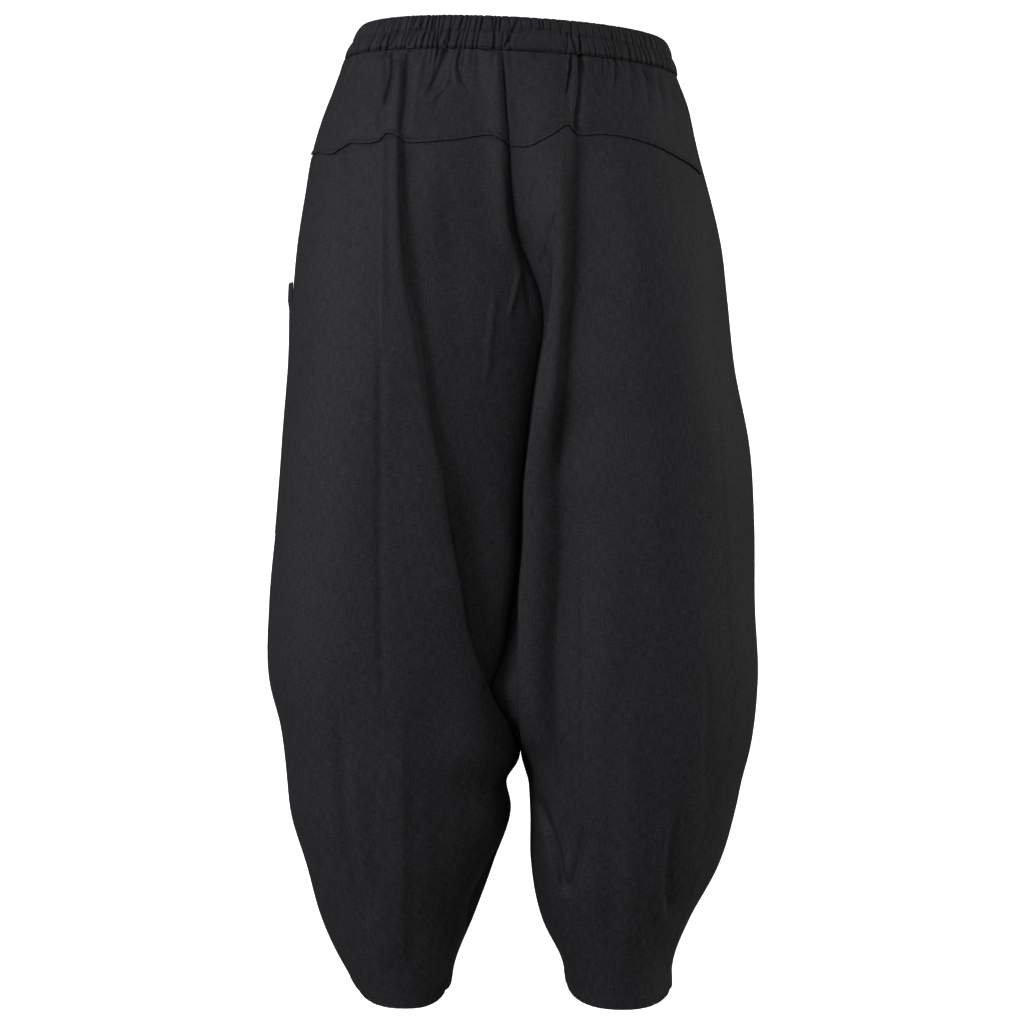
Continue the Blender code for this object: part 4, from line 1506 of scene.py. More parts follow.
    def sample(self, levels: np.ndarray, form: np.ndarray, heights: np.ndarray) -> np.ndarray:
        """Reads the form column by column at the wanted heights.

        Args:
            levels: Height of each outline.
            form: The placed columns at each level.
            heights: Heights to read, rows by columns.

        Returns:
            The grid of points.
        """
        grid = np.empty(heights.shape + (3,))
        for place in range(heights.shape[1]):
            grid[:, place, :2] = read_line(-heights[:, place], -levels, form[:, place])
        grid[..., 2] = heights
        return grid

    def heights(self, levels: np.ndarray, form: np.ndarray) -> np.ndarray:
        """Height of each grid point: rows follow the waist, the yoke seam, the crotch and the hem.

        Args:
            levels: Height of each outline.
            form: The placed columns at each level.

        Returns:
            Heights, rows by columns.
        """
        columns = form.shape[1]
        waist = np.full(columns, -self.band_height / 2)
        yoke = np.full(columns, self.yoke_level)
        low = np.full(columns, self.hem_level)
        for _ in range(self.settling):
            across = self.sample(levels, form, np.array((waist, yoke, low)))[..., 0]
            waist = -self.band_tilt * across[0] - self.band_height / 2 + self.tucked_up
            yoke = YOKE_SEAM.read("height", across[1])
            low = self.hem.height(across[2], self.side.value)
        crotch = np.full(columns, self.crotch)
        rows = []
        for top, bottom, count in zip((waist, yoke, crotch), (yoke, crotch, low), self.rows):
            rows += [top + (bottom - top) * row / count for row in range(count)]
        return np.array([*rows, low])

    def build(self) -> tuple[np.ndarray, np.ndarray]:
        """The finished outer face.

        Returns:
            The grid of points with its folds, and the UV map in millimetres of cloth.
        """
        levels = np.arange(self.top_level, self.low_level - self.level_step, -self.level_step)
        form = self.outlines(levels)
        grid = self.sample(levels, form, self.heights(levels, form))
        grid[..., :2] *= self.spread_to_band(grid)[..., None]
        normals = grid_normals(grid, self.hand)
        lift = self.relief(grid) * ease(edge_distance(grid, Edge.CENTRE) / self.seam_hold)
        uv = self.cloth_map(grid)
        return grid + normals * lift[..., None], uv

    def spread_to_band(self, grid: np.ndarray) -> np.ndarray:
        """Scale that brings the cloth's top edge out to the waistband that it hangs from.

        Args:
            grid: Outer points, rows by columns.

        Returns:
            A scale for each point.
        """
        oval = waist_oval(-self.band_height / 2)
        reach = np.where(grid[0, :, 0] >= 0.0, oval["right"], oval["left"])
        thick = np.where(grid[0, :, 1] >= 0.0, oval["front"], oval["back"])
        square = oval["square"]
        size = np.abs(grid[0, :, 0] / reach) ** square + np.abs(grid[0, :, 1] / thick) ** square
        down = grid[0, :, 2] - grid[..., 2]
        scale = size ** (-1.0 / square) * (1.0 - self.band_inset / oval["back"])
        return 1.0 + (scale - 1.0) * ease(1.0 - down / self.band_blend)

    def relief(self, grid: np.ndarray) -> np.ndarray:
        """How far the folds, gathers and slight waves lift each point of the grid.

        Args:
            grid: Outer points, rows by columns.

        Returns:
            The lift of each point.
        """
        across, deep, height = grid[..., 0], grid[..., 1], grid[..., 2]
        back = ease(0.5 - deep / self.turn_over)
        lift = np.zeros(across.shape)
        for share, folds in ((back, BACK_FOLDS), (1.0 - back, FRONT_FOLDS)):
            for fold in folds:
                lift += share * fold.lift(across, height)
        down = grid[0, :, 2][None, :] - height
        lift += GATHERS.below_band(grid, down)
        lift += ease(down / self.waves_below) * SoftWaver().lift(grid)
        below_seam = np.maximum(down - self.tucked_up, 0.0)
        return np.minimum(lift, self.seam_room + self.seam_rise * below_seam)

    def cloth_map(self, grid: np.ndarray) -> np.ndarray:
        """UV map in millimetres: across from the side seam, and down from the waist.

        Args:
            grid: Outer points, rows by columns.

        Returns:
            An (across, down) for each point.
        """
        along = edge_distance(grid, Edge.CENTRE)
        across = (along - along[:, -1:]) * self.hand
        return np.stack((across, -mean_down(grid)), axis=-1)


@dataclass
class Seams:
    """Sizes of the seams, hems and topstitching that every cut piece shares.

    Two pieces lap by a hair at their seam, so that no light shows through it: by the overlap
    along most of the seam, and each by the top lap under the band, where the gathers pull at it.
    """

    cloth: float = 0.7
    overlap: float = 0.12
    top_lap: float = 0.3
    top_reach: float = 30.0
    clear: float = 0.3
    ridge: float = 1.0
    ridge_width: float = 4.4
    ridge_edge: float = 1.0
    stitch_in: float = 4.0
    stitch_dip: float = 0.45
    stitch_dip_width: float = 1.0
    tuck: float = 0.9
    tuck_width: float = 2.2
    hem_depth: float = 12.5
    hem_rise: float = 0.55
    hem_past: float = 1.5
    hem_edge_width: float = 2.0
    hem_dip_width: float = 1.3
    pucker: float = 0.16
    pucker_length: float = 7.5
    # Longer waves that make the puckers uneven: length, share of the height, and start.
    hem_second: tuple[float, float, float] = (17.3, 0.6, 0.0)
    row_second: tuple[float, float, float] = (11.9, 0.7, 1.0)
    pucker_reach: float = 9.0

    def raised_edge(self, distance: np.ndarray) -> np.ndarray:
        """Lift of a doubled, topstitched edge by the distance from it."""
        flat = self.ridge * ease((self.ridge_width - distance) / self.ridge_edge)
        return flat - self.stitch_dip * bell(distance - self.stitch_in, self.stitch_dip_width)

    def tucked_edge(self, distance: np.ndarray) -> np.ndarray:
        """Lift of an edge that goes under its neighbour, by the distance from it."""
        return -self.tuck * bell(distance, self.tuck_width)

    def hem_edge(self, distance: np.ndarray, along: np.ndarray) -> np.ndarray:
        """Lift of the turned-up hem by the distance from the bottom edge, with its light puckers.

        Args:
            distance: Distance from the bottom edge.
            along: Distance along the hem.

        Returns:
            The lift of each point.
        """
        doubled = self.hem_rise * ease((self.hem_depth + self.hem_past - distance) / self.hem_edge_width)
        dip = self.stitch_dip * bell(distance - self.hem_depth, self.stitch_dip_width * self.hem_dip_width)
        wave = self.uneven_wave(along, self.hem_second)
        return doubled - dip + self.pucker * wave * bell(distance - self.hem_depth / 2.0, self.hem_depth)

    def puckers(self, distance: np.ndarray, along: np.ndarray) -> np.ndarray:
        """Small uneven waves that a row of stitches draws into the cloth beside it."""
        wave = self.uneven_wave(along, self.row_second)
        return self.pucker * wave * bell(distance, self.pucker_reach)

    def uneven_wave(self, along: np.ndarray, second: tuple[float, float, float]) -> np.ndarray:
        """A wave of the puckers' length with a longer second one on it.

        Args:
            along: Distance along the edge.
            second: Length, share and start of the second wave.

        Returns:
            The wave's height, about 1 at most.
        """
        length, share, start = second
        first = np.sin(2.0 * np.pi * along / self.pucker_length)
        return first + share * np.sin(2.0 * np.pi * along / length + start)


SEAMS = Seams()


@dataclass(frozen=True)
class FlatCut:
    """A sheet's cut before it was sewn: width and length in millimetres, and square metres."""

    width: float
    length: float
    area: float

    def declare(self, piece: Object, held: Held) -> None:
        """Does nothing: the sheet's cut and how its cloth is held are not passed on."""


@dataclass
class CutPiece:
    """One cut piece of cloth, with its outer grid and the cut that it was made from."""

    node: str
    grid: np.ndarray
    uv: np.ndarray
    hand: int
    cut: FlatCut
    hem_thickness: float = 0.0
    keeps_to: Face | None = None

    @property
    def normals(self) -> np.ndarray:
        """Unit normals of the outer grid."""
        return grid_normals(self.grid, self.hand)

    def inner_grid(self) -> np.ndarray:
        """Inner face on every second row and column, kept on its own side of the inseam.

        Returns:
            The inner points.
        """
        from_end = edge_distance(self.grid[::-1], Edge.TOP)[::-1]
        doubled = ease((SEAMS.hem_depth - from_end) / SEAMS.hem_edge_width)
        depth = SEAMS.cloth + self.hem_thickness * doubled
        inner = (self.grid - self.normals * depth[..., None])[::2, ::2]
        half = SEAMS.overlap / 2
        if self.keeps_to is Face.BACK:
            inner[..., 1] = np.minimum(inner[..., 1], half)
        elif self.keeps_to is Face.FRONT:
            inner[:, 0, 1] = np.maximum(inner[:, 0, 1], -half)
        return inner

    def build(self, finish: Finish) -> Object:
        """Makes the piece and dresses it.

        Args:
            finish: What the piece is made of.

        Returns:
            The finished mesh object.
        """
        name = self.node + "_cloth"
        shell = Shell(name, self.grid, self.inner_grid(), self.uv, self.uv[::2, ::2], self.hand)
        piece = shell.build()
        dress(piece, finish, Slot.CLOTH, self.node)
        self.cut.declare(piece, Held.DRAPED)
        return piece


def dress(piece: Object, finish: Finish, slot: Slot, *nodes: str) -> None:
    """Gives a piece its finish and its body, and hides the parts of the nodes that it stands for.

    Args:
        piece: The mesh object.
        finish: What it is made of.
        slot: Not used.
        nodes: The nodes that it stands for, if any.
    """
    piece.data.materials.append(finish.material())
    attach(piece, BODY)
    if nodes:
        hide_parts(*nodes)
    LOG.info("%s: %d faces", piece.name, len(piece.data.polygons))


@dataclass
class Leg:
    """One leg: its back yoke, back leg and front leg, with their topstitching and hems."""

    side: Side
    tube: Table
    back_fold: Table
    front_fold: Table
    hem: Hem
    cuts: dict[str, FlatCut]
    back_columns: int = 204
    front_columns: int = 150
    back_rows: tuple[int, int, int] = (62, 244, 104)
    front_rows: tuple[int, int, int] = (44, 176, 80)
    seam_ridge: float = 0.7
    seam_ridge_width: float = 2.6
    side_tuck: float = 0.4
    level_at_hem: float = 40.0
    centre_dip: float = 0.7
    centre_dip_width: float = 2.0
    centre_hold: float = 2.5
    tucked_puckers: float = 0.6
    pieces: list[CutPiece] = field(default_factory=list)

    def form(self, face: Face) -> LegForm:
        """The fine form of one face.

        Args:
            face: Back or front.

        Returns:
            The form, not yet built.
        """
        back = face is Face.BACK
        return LegForm(
            side=self.side,
            face=face,
            tube=self.tube,
            fold=self.back_fold if back else self.front_fold,
            valley=BACK_VALLEY if back else FRONT_VALLEY,
            hem=self.hem,
            folds=BACK_FOLDS if back else FRONT_FOLDS,
            columns=self.back_columns if back else self.front_columns,
            rows=self.back_rows if back else self.front_rows,
        )

    def hand(self, face: Face) -> int:
        """1 where columns by rows turn out of the face's cloth, otherwise -1."""
        return self.side.value * face.value

    def lap_seams(self, grid: np.ndarray, face: Face) -> np.ndarray:
        """Laps the panel a hair past its side seam and its centre seam.

        Args:
            grid: Outer points, rows by columns.
            face: Back or front.

        Returns:
            The panel, a hair wider.
        """
        down = grid[0, 0, 2] - grid[:, 0, 2]
        below = ease(down / SEAMS.top_reach)
        past = SEAMS.overlap / 2 * below + SEAMS.top_lap * (1.0 - below)
        grid = grid.copy()
        inwards = grid[:, -2] - grid[:, -1]
        inwards /= np.linalg.norm(inwards, axis=1, keepdims=True)
        grid[:, -1] -= inwards * past[:, None]
        grid[:, 0, 0] -= self.side.value * past
        grid[:, 0, 1] -= face.value * past
        return grid

    def sew(self, grid: np.ndarray, face: Face, edges: dict[Edge, Sewn]) -> np.ndarray:
        """Gives a panel's edges their ridges, dips and puckers.

        Args:
            grid: Outer points of the panel.
            face: Back or front.
            edges: How each of its sewn edges is sewn.

        Returns:
            The panel's outer points, lifted.
        """
        lift = np.zeros(grid.shape[:2])
        dip = np.zeros(grid.shape[:2])
        level = 1.0
        if Sewn.HEM in edges.values():
            level = ease(edge_distance(grid, Edge.BOTTOM) / self.level_at_hem)
        for edge, kind in edges.items():
            distance = edge_distance(grid, edge)
            across = edge_distance(grid, Edge.CENTRE if edge in ACROSS_EDGES else Edge.TOP)
            if kind is Sewn.RAISED:
                lift += SEAMS.raised_edge(distance) + SEAMS.puckers(distance, across)
            elif kind is Sewn.TUCKED:
                under = self.side_tuck * level if edge is Edge.SIDE else 1.0
                puckers = self.tucked_puckers * SEAMS.puckers(distance, across)
                lift += under * SEAMS.tucked_edge(distance) + puckers
            elif kind is Sewn.HEM:
                lift += SEAMS.hem_edge(distance, across)
            elif kind is Sewn.RIDGE:
                lift += level * self.seam_ridge * bell(distance, self.seam_ridge_width)
            elif kind is Sewn.DIP:
                dip += self.centre_dip * bell(distance, self.centre_dip_width)
        hold = ease(edge_distance(grid, Edge.CENTRE) / self.centre_hold)
        sewn = grid + grid_normals(grid, self.hand(face)) * (lift * hold)[..., None]
        sewn[..., 1] -= face.value * dip
        return sewn

    def cut(self) -> None:
        """Cuts the three panels out of the leg's form."""
        name = self.side.name.lower()
        form = self.form(Face.BACK)
        grid, uv = form.build()
        grid = self.lap_seams(grid, Face.BACK)
        split = form.rows[0]
        yoke = grid[: split + 1].copy()
        yoke[-1, :, 2] -= SEAMS.overlap / 2
        leg = grid[split:].copy()
        leg[0, :, 2] += SEAMS.overlap / 2
        sides = {Edge.SIDE: Sewn.RIDGE, Edge.CENTRE: Sewn.DIP}
        yoke = self.sew(yoke, Face.BACK, {Edge.BOTTOM: Sewn.RAISED, **sides})
        leg = self.sew(leg, Face.BACK, {Edge.TOP: Sewn.TUCKED, **sides, Edge.BOTTOM: Sewn.HEM})
        self.add("yoke_back_" + name, yoke, uv[: split + 1], Face.BACK, 0.0)
        self.add("leg_back_" + name, leg, uv[split:], Face.BACK, SEAMS.hem_rise)
        grid, uv = self.form(Face.FRONT).build()
        grid = self.lap_seams(grid, Face.FRONT)
        edges = {Edge.SIDE: Sewn.TUCKED, Edge.CENTRE: Sewn.DIP, Edge.BOTTOM: Sewn.HEM}
        front = self.sew(grid, Face.FRONT, edges)
        self.add("leg_front_" + name, front, uv, Face.FRONT, SEAMS.hem_rise)

    def add(self, node: str, grid: np.ndarray, uv: np.ndarray, face: Face, hem: float) -> None:
        """Keeps one cut panel.

        Args:
            node: The node that it stands for.
            grid: Outer points, rows by columns.
            uv: Its UV map.
            face: Back or front.
            hem: How much thicker its hem is.
        """
        self.pieces.append(CutPiece(node, grid, uv, self.hand(face), self.cuts[node], hem, face))

    def panel(self, word: str) -> CutPiece:
        """The cut panel whose node has this word in its name."""
        return next(piece for piece in self.pieces if word in piece.node)

    def build(self, finish: Finish) -> None:
        """Builds and dresses every panel.

        Args:
            finish: What the panels are made of.
        """
        self.cut()
        for piece in self.pieces:
            piece.build(finish)

    def topstitch(self, stitching: Stitching) -> None:
        """Sews the row above the yoke seam and the row round the hem.

        Args:
            stitching: Where the rows go.
        """
        yoke = self.panel("yoke")
        stitching.add_row(*line_on_grid(yoke.grid, yoke.normals, SEAMS.stitch_in, True))
        for word in ("leg_back", "leg_front"):
            leg = self.panel(word)
            stitching.add_row(*line_on_grid(leg.grid, leg.normals, SEAMS.hem_depth, True))


@dataclass
class PatchPocket:
    """Patch pocket on the front of the left leg beside the side seam, its mouth standing open."""

    leg: Leg
    cut: FlatCut
    node: str = "pocket_left"
    width: float = 146.0
    columns: int = 84
    gape: float = 4.5
    slack: float = 0.3
    slack_down: float = 4.0
    slack_across: float = 0.7
    mouth_hem: float = 20.0
    edge_stitch: float = 2.0
    edge_dip_width: float = 1.2
    piece: CutPiece | None = None

    def under(self) -> tuple[np.ndarray, np.ndarray, np.ndarray]:
        """The part of the front leg below the pocket: its points, normals and UV map.

        Returns:
            Points, normals and UV map, rows by columns.
        """
        front = self.leg.panel("leg_front")
        low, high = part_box(self.node)
        # The leg's heights a quarter of the way in from the side seam, under the pocket's middle.
        heights = front.grid[:, -front.grid.shape[1] // 4, 2] * MM
        inside = np.nonzero((heights < high[2]) & (heights > low[2]))[0]
        first, last = int(inside[0]), int(inside[-1])
        last -= (last - first) % 2
        rows = slice(first, last + 1)
        grid, normals, uv = front.grid[rows], front.normals[rows], front.uv[rows]
        distance = edge_distance(grid, Edge.SIDE)
        wanted = np.linspace(self.width, 0.0, self.columns + 1)
        points, facing, places = (
            np.array([read_line(-wanted, -far, row) for far, row in zip(distance, values)])
            for values in (grid, normals, uv)
        )
        return points, facing, places

    def build(self, finish: Finish) -> None:
        """Builds and dresses the pocket.

        Args:
            finish: What it is made of.
        """
        under, normals, uv = self.under()
        down = np.linspace(0.0, 1.0, under.shape[0])[:, None]
        across = np.linspace(0.0, 1.0, under.shape[1])[None, :]
        fullness = self.slack * np.sqrt(1.0 - down) + (1.0 - self.slack) * (1.0 - down) ** self.slack_down
        clear = SEAMS.clear + self.gape * fullness * np.sin(np.pi * across) ** self.slack_across
        top = edge_distance(under, Edge.TOP)
        mouth = SEAMS.ridge * ease((self.mouth_hem - top) / SEAMS.hem_edge_width)
        mouth -= SEAMS.stitch_dip * bell(top - self.mouth_hem, SEAMS.stitch_dip_width)
        for edge in (Edge.BOTTOM, Edge.CENTRE):
            from_stitch = edge_distance(under, edge) - self.edge_stitch
            mouth -= SEAMS.stitch_dip * bell(from_stitch, self.edge_dip_width)
        lift = clear + SEAMS.cloth + mouth
        grid = under + normals * lift[..., None]
        front = self.leg.panel("leg_front")
        self.piece = CutPiece(self.node, grid, uv, front.hand, self.cut)
        self.piece.build(finish)

    def topstitch(self, stitching: Stitching) -> None:
        """Sews the mouth's hem and the pocket's two free edges.

        Args:
            stitching: Where the rows go.
        """
        grid, normals = self.piece.grid, self.piece.normals
        stitching.add_row(*line_on_grid(grid, normals, self.mouth_hem, False))
        stitching.add_row(*line_on_grid(grid, normals, self.edge_stitch, True))
        turned, facing = np.swapaxes(grid, 0, 1), np.swapaxes(normals, 0, 1)
        stitching.add_row(*line_on_grid(turned, facing, self.edge_stitch, False))


# Deep gathers of the band that lead into the pleats below it.
BAND_FOLDS = (
    Fold(((6, 15), (0, 0), (-7, -15)), 1.0, 1.8, -2.2, 0.01, 0.01),
    Fold(((20, 3), (9, -7)), 0.9, 1.3, -0.9, 2.0, 3.0),
    Fold(((27, 5), (17, -3)), 0.9, 1.3, -0.8, 2.0, 3.0),
    Fold(((50, 4), (50.5, -15)), 0.9, 1.2, -1.8, 3.0, 0.01),
    Fold(((57, 4), (57.6, -15)), 1.2, 1.2, 1.0, 3.0, 0.01),
    Fold(((61, 4), (61.4, -15)), 0.9, 1.8, -2.0, 3.0, 0.01),
    Fold(((-55, 4), (-61, -15)), 1.2, 1.8, -1.8, 6.0, 0.01),
    Fold(((-84, 6), (-94, -15)), 1.2, 1.8, -1.8, 6.0, 0.01),
    Fold(((-102, 6), (-111, -15)), 1.2, 1.8, -1.8, 6.0, 0.01),
)


@dataclass
class Waistband:
    """Doubled band with two rows of elastic, gathered into two soft channels.

    The cloth runs from the seam inside, up over the rolled top edge and down to the seam outside.
    The band is hollow, and the panels' top edges stand up into it.
    """

    cut: FlatCut
    node: str = "waistband"
    columns: int = 1360
    ring_points: int = 4001
    back_crowding: float = 1.7
    wall_rows: int = 36
    crest_rows: int = 6
    lining_rows: int = 12
    height: float = 30.0
    tilt: float = 0.05
    stand: float = 0.9
    puff: float = 1.7
    puff_shape: float = 0.55
    crest: float = 1.1
    cloth: float = 0.6
    hollow: float = 5.0
    lining_follow: float = 0.4
    channel_rise: float = 4.2
    channel_arch: tuple[float, float] = (24.0, 18.0)
    row_blend: float = 0.12
    between: float = 0.6
    lower_widens: float = 0.01
    edge_from: float = 0.6
    scallop: float = 0.42
    seam_wave: float = 1.1
    upper_calm: float = 0.7
    lip_in: float = 0.25
    lip_drop: float = 1.3
    lining_bend: float = 0.9
    low_row: float = 1.6
    outer: np.ndarray | None = None
    normals: np.ndarray | None = None

    def ring(self, height: float, turns: np.ndarray) -> tuple[np.ndarray, np.ndarray]:
        """The band's plain oval at one height, and its outward directions.

        Args:
            height: Height at the middle.
            turns: Turns round the waist.

        Returns:
            The points and their outward directions.
        """
        oval = waist_oval(height)
        power = 2.0 / oval["square"]
        cosine, sine = np.cos(turns), np.sin(turns)
        reach = np.where(cosine >= 0.0, oval["right"], oval["left"])
        thick = np.where(sine >= 0.0, oval["front"], oval["back"])
        across = np.sign(cosine) * reach * np.abs(cosine) ** power
        deep = np.sign(sine) * thick * np.abs(sine) ** power
        points = np.stack((across, deep, height - self.tilt * across), axis=1)
        facing = np.stack((cosine / reach, sine / thick, np.zeros_like(cosine)), axis=1)
        return points, facing / np.linalg.norm(facing, axis=1, keepdims=True)

    def placed_turns(self) -> np.ndarray:
        """Turns that place the columns round the band, closer together at the back.

        Returns:
            A turn for each column.
        """
        fine = np.linspace(0.0, 2.0 * np.pi, self.ring_points)
        points, _ = self.ring(0.0, fine)
        steps = np.linalg.norm(np.diff(points, axis=0), axis=1)
        steps *= np.where(points[1:, 1] < 0.0, self.back_crowding, 1.0)
        lengths = np.concatenate(([0.0], np.cumsum(steps)))
        wanted = np.linspace(0.0, lengths[-1], self.columns, endpoint=False)
        return np.interp(wanted, lengths, fine)

    def row_between(self, points: np.ndarray) -> np.ndarray:
        """Share of the height at which the row between the channels runs: arched over the window.

        Args:
            points: Points of the cloth.

        Returns:
            A share for each point, 0 at half height.
        """
        middle, reach = self.channel_arch
        arch = self.channel_rise * bell(points[:, 0] - middle, reach) * (points[:, 1] < 0.0)
        return arch / (self.height / 2)

    def channel_lift(self, points: np.ndarray, share: float) -> np.ndarray:
        """Lift of one row of the band by its share of the height, 1 at the top and -1 at the seam.

        Args:
            points: Points of the row.
            share: The row's share of the height.

        Returns:
            The lift of each point.
        """
        down = (1.0 - share) * self.height / 2
        calm = GATHERS.calmness(points)
        turn = GATHERS.turn_of(points)
        down_here = np.full(turn.shape, down)
        upper = GATHERS.troughs(turn, down_here, GATHERS.upper_depths, GATHERS.turns, 0.0)
        places = GATHERS.turns + GATHERS.jitter
        lower = GATHERS.troughs(turn, down_here, GATHERS.lower_depths, places, self.lower_widens)
        upper *= self.upper_calm + (1.0 - self.upper_calm) * calm
        lower *= calm
        row = self.row_between(points)
        blend = ease((share - row) / self.row_blend + 0.5)
        local = np.where(share > row, (share - row) / (1.0 - row), (row - share) / (1.0 + row))
        swell = np.abs(np.sin(np.pi * np.clip(local, 0.0, 1.0))) ** self.puff_shape
        gathered = upper * blend + lower * (1.0 - blend)
        return self.puff * swell + gathered * (self.between + (1.0 - self.between) * swell)

    def build(self, finish: Finish) -> None:
        """Builds and dresses the band.

        Args:
            finish: What it is made of.
        """
        turns = self.placed_turns()
        outer = np.array([*self.lining(turns), *self.face_rows(turns)])
        normals = wrap_normals(outer, -1)
        kept = [*range(0, len(outer) - 1, 2), len(outer) - 1]
        inner = (outer - normals * self.cloth)[kept, ::2]
        uv = self.cloth_map(outer)
        shell = Shell("waistband_cloth", outer, inner, uv, uv[kept, ::2], -1, ring=True)
        piece = shell.build()
        dress(piece, finish, Slot.BAND, self.node)
        self.cut.declare(piece, Held.GATHERED)
        self.outer = outer
        self.normals = normals

    def face_rows(self, turns: np.ndarray) -> np.ndarray:
        """The band's outer face, from behind its rolled top edge down over the panels' top edges.

        Args:
            turns: Turn of each column.

        Returns:
            Rows by columns of points.
        """
        half = self.height / 2
        rows = []
        for share in np.linspace(1.0, -1.0, self.wall_rows + 1):
            points, facing = self.ring(share * (half - self.crest * (share > 0.0)), turns)
            lift = self.channel_lift(points, share)
            on_back = points[:, 1] < 0.0
            for fold in BAND_FOLDS:
                lift += fold.lift(points[:, 0], np.full(len(points), share * half)) * on_back
            row = points + facing * (self.stand + lift)[:, None]
            near_top = ease((share - self.edge_from) / (1.0 - self.edge_from))
            near_seam = ease((-share - self.edge_from) / (1.0 - self.edge_from))
            row[:, 2] += self.scallop * lift * near_top
            row[:, 2] -= self.seam_wave * lift * near_seam
            rows.append(row)
        lip = rows[-1] - facing * self.lip_in
        lip[:, 2] -= self.lip_drop
        rows.append(lip)
        rolled = []
        for angle in np.linspace(math.pi, 0.0, self.crest_rows, endpoint=False):
            row = rows[0] - facing * self.crest * (1.0 - math.cos(angle))
            row[:, 2] += self.crest * math.sin(angle)
            rolled.append(row)
        return np.array(rolled + rows)

    def lining(self, turns: np.ndarray) -> np.ndarray:
        """The band's inside face, from the seam up to the rolled top edge.

        Args:
            turns: Turn of each column.

        Returns:
            Rows by columns of points.
        """
        half = self.height / 2
        rows = []
        for share in np.linspace(-1.0, 1.0, self.lining_rows, endpoint=False):
            points, facing = self.ring(share * (half - self.crest * (share > 0.0)), turns)
            follow = self.lining_follow + (1.0 - self.lining_follow) * float(ease(share))
            narrowed = float(ease(share / self.lining_bend))
            depth = self.hollow + (2.0 * self.crest - self.hollow) * narrowed
            lift = self.channel_lift(points, share)
            rows.append(points + facing * (self.stand + follow * lift - depth)[:, None])
        return np.array(rows)

    def cloth_map(self, grid: np.ndarray) -> np.ndarray:
        """UV map in millimetres: round the band, and down it.

        Args:
            grid: Outer points, rows by columns.

        Returns:
            An (around, down) for each point.
        """
        closed = np.concatenate((grid, grid[:, :1]), axis=1)
        around = np.linalg.norm(np.diff(closed, axis=1), axis=2).mean(axis=0)
        around = np.concatenate(([0.0], np.cumsum(around)[:-1]))[None, :] + np.zeros(grid.shape[:2])
        return np.stack((around, -mean_down(grid)), axis=-1)

    def topstitch(self, stitching: Stitching) -> None:
        """Sews the row between the two channels and the row above the seam.

        Args:
            stitching: Where the rows go.
        """
        first = self.lining_rows + self.crest_rows
        points, _ = self.ring(0.0, self.placed_turns())
        middle = first + (1.0 - self.row_between(points)) * self.wall_rows / 2.0
        low = np.full(self.columns, first + self.wall_rows - self.low_row)
        places = np.arange(self.columns)
        for row in (middle, low):
            above = row.astype(int)
            part = (row - above)[:, None]
            line = self.outer[above, places] * (1.0 - part) + self.outer[above + 1, places] * part
            facing = self.normals[above, places]
            line = np.concatenate((line, line[:1]))
            facing = np.concatenate((facing, facing[:1]))
            stitching.add_row(line, facing)


# ------------ Studio ------------


@dataclass(frozen=True)
class SoftBox:
    """A square soft light, by its place, its aim, its width, its power and its grid's opening."""

    name: str
    place: tuple[float, float, float]
    aim: tuple[float, float, float]
    width: float
    watts: float
    grid: float = 180.0

    def build(self) -> None:
        """Makes the light."""
        light = bpy.data.lights.new(self.name, "AREA")
        light.shape = "SQUARE"
        light.size = self.width
        light.energy = self.watts
        light.spread = math.radians(self.grid)
        made = place_object(self.name, light)
        made.location = self.place
        made.rotation_mode = "QUATERNION"
        made.rotation_quaternion = (Vector(self.aim) - Vector(self.place)).to_track_quat("-Z", "Y")


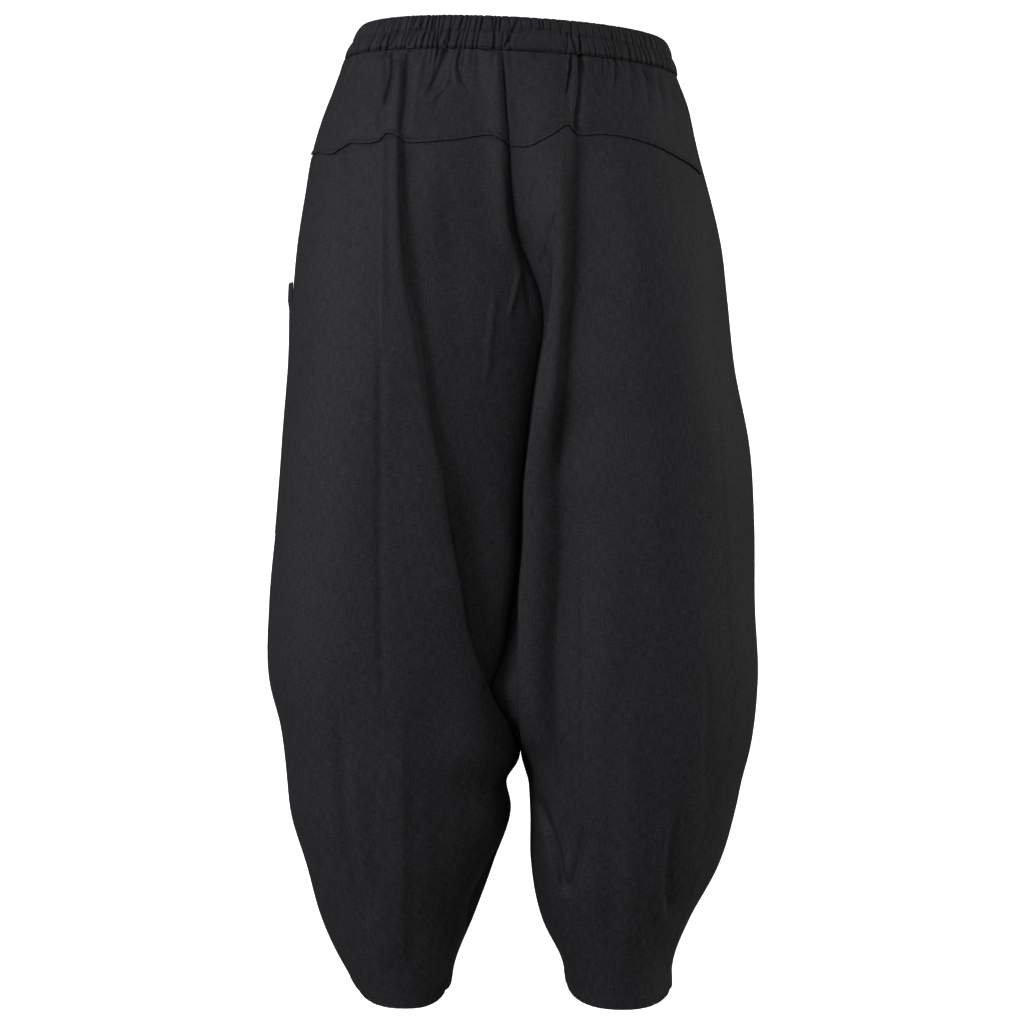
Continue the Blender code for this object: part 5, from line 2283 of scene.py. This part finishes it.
@dataclass
class Studio:
    """Pale paper sweep, soft lights and the camera, in metres."""

    camera_place: tuple[float, float, float] = (0.0, -2.4, -0.436)
    view_width: float = 0.9728
    sensor: float = 36.0
    floor: float = -1.35
    near: float = -0.9
    bend_at: float = 2.2
    bend: float = 1.1
    top: float = 1.4
    half_width: float = 1.75
    bend_steps: int = 24
    surround: float = 0.08
    sees_to: float = 100.0
    lights: tuple[SoftBox, ...] = (
        SoftBox("key_softbox", (-2.2, -2.0, 0.7), (0.0, 0.0, -0.25), 1.1, 12.5, 90.0),
        SoftBox("fill_softbox", (-0.1, -2.7, 0.9), (0.0, 0.0, -0.15), 1.5, 19.0),
        SoftBox("left_side_softbox", (-2.5, -0.3, 0.2), (0.0, 0.0, -0.4), 1.2, 12.0),
        SoftBox("right_side_softbox", (2.5, -0.1, 0.3), (0.0, 0.0, -0.2), 1.2, 26.0),
        SoftBox("left_paper_light", (-2.2, 1.4, 0.9), (-0.5, 3.5, -0.9), 1.4, 50.0, 110.0),
        SoftBox("right_paper_light", (2.2, 1.4, 0.9), (0.5, 3.5, -0.9), 1.4, 50.0, 110.0),
    )

    def sweep(self) -> None:
        """Makes the floor that curves up into the backdrop."""
        line = [(self.near, self.floor), (self.bend_at, self.floor)]
        for step in range(1, self.bend_steps + 1):
            turn = math.pi / 2 * step / self.bend_steps
            deep = self.bend_at + self.bend * math.sin(turn)
            line.append((deep, self.floor + self.bend * (1.0 - math.cos(turn))))
        line.append((self.bend_at + self.bend, self.top))
        points = [(side * self.half_width, deep, high) for deep, high in line for side in (-1, 1)]
        faces = [
            (2 * row, 2 * row + 1, 2 * row + 3, 2 * row + 2) for row in range(len(line) - 1)
        ]
        mesh = bpy.data.meshes.new("paper_sweep")
        mesh.from_pydata(points, [], faces)
        mesh.shade_smooth()
        mesh.materials.append(SeamlessPaper().material())
        paper = place_object("paper_sweep", mesh)
        # Black boards beside the paper would keep its glare off the cloth; this does the same.
        paper.visible_glossy = False

    def air(self) -> None:
        """Gives the room its even pale light."""
        world = bpy.data.worlds.new("studio_air")
        world.use_nodes = True
        background = world.node_tree.nodes["Background"]
        background.inputs["Color"].default_value = (1.0, 1.0, 1.0, 1.0)
        background.inputs["Strength"].default_value = self.surround
        bpy.context.scene.world = world

    def camera(self) -> None:
        """Places the camera straight behind the garment, level with its middle."""
        lens = bpy.data.cameras.new("camera")
        lens.sensor_width = self.sensor
        lens.lens = self.sensor * abs(self.camera_place[1]) / self.view_width
        lens.clip_end = self.sees_to
        made = place_object("camera", lens)
        made.location = self.camera_place
        made.rotation_euler = (math.pi / 2, 0.0, 0.0)
        bpy.context.scene.camera = made

    def build(self) -> None:
        """Makes the whole studio."""
        self.camera()
        self.sweep()
        self.air()
        for light in self.lights:
            light.build()
        bpy.context.scene.view_settings.view_transform = "Standard"


# The cut of each sheet: width, length and area.
CUTS = {
    "yoke_back_left": FlatCut(260, 110, 0.021),
    "yoke_back_right": FlatCut(240, 120, 0.019),
    "leg_back_left": FlatCut(360, 800, 0.235),
    "leg_back_right": FlatCut(320, 800, 0.190),
    "leg_front_left": FlatCut(450, 880, 0.300),
    "leg_front_right": FlatCut(480, 880, 0.335),
    "pocket_left": FlatCut(150, 230, 0.0325),
    "waistband": FlatCut(1040, 64, 0.0665),
}


@dataclass
class Trousers:
    """The whole garment, piece by piece."""

    cloth: Finish = field(default_factory=WovenViscose)
    thread: Finish = field(default_factory=SpunThread)
    stitching: Stitching = field(default_factory=lambda: Stitching("topstitching"))

    def build(self) -> None:
        """Builds every piece and its stitches."""
        left = Leg(
            Side.LEFT,
            LEFT_TUBE,
            BACK_LEFT_FOLD,
            FRONT_LEFT_FOLD,
            Hem(low_at=-97, low=-894, reach_out=46, rise_out=13, reach_in=34, rise_in=14),
            CUTS,
        )
        right = Leg(
            Side.RIGHT,
            RIGHT_TUBE,
            BACK_RIGHT_FOLD,
            FRONT_RIGHT_FOLD,
            Hem(low_at=102, low=-895, reach_out=46, rise_out=14, reach_in=50, rise_in=18),
            CUTS,
        )
        band = Waistband(CUTS["waistband"])
        for sewn in (band, left, right):
            sewn.build(self.cloth)
        pocket = PatchPocket(left, CUTS["pocket_left"])
        pocket.build(self.cloth)
        for sewn in (band, left, right, pocket):
            sewn.topstitch(self.stitching)
        thread = self.stitching.build()
        dress(thread, self.thread, Slot.CLOTH)


def main() -> None:
    """Builds the studio and the garment."""
    logging.basicConfig(level=logging.INFO, format="%(message)s")
    Studio().build()
    Trousers().build()


if __name__ == "__main__":
    main()
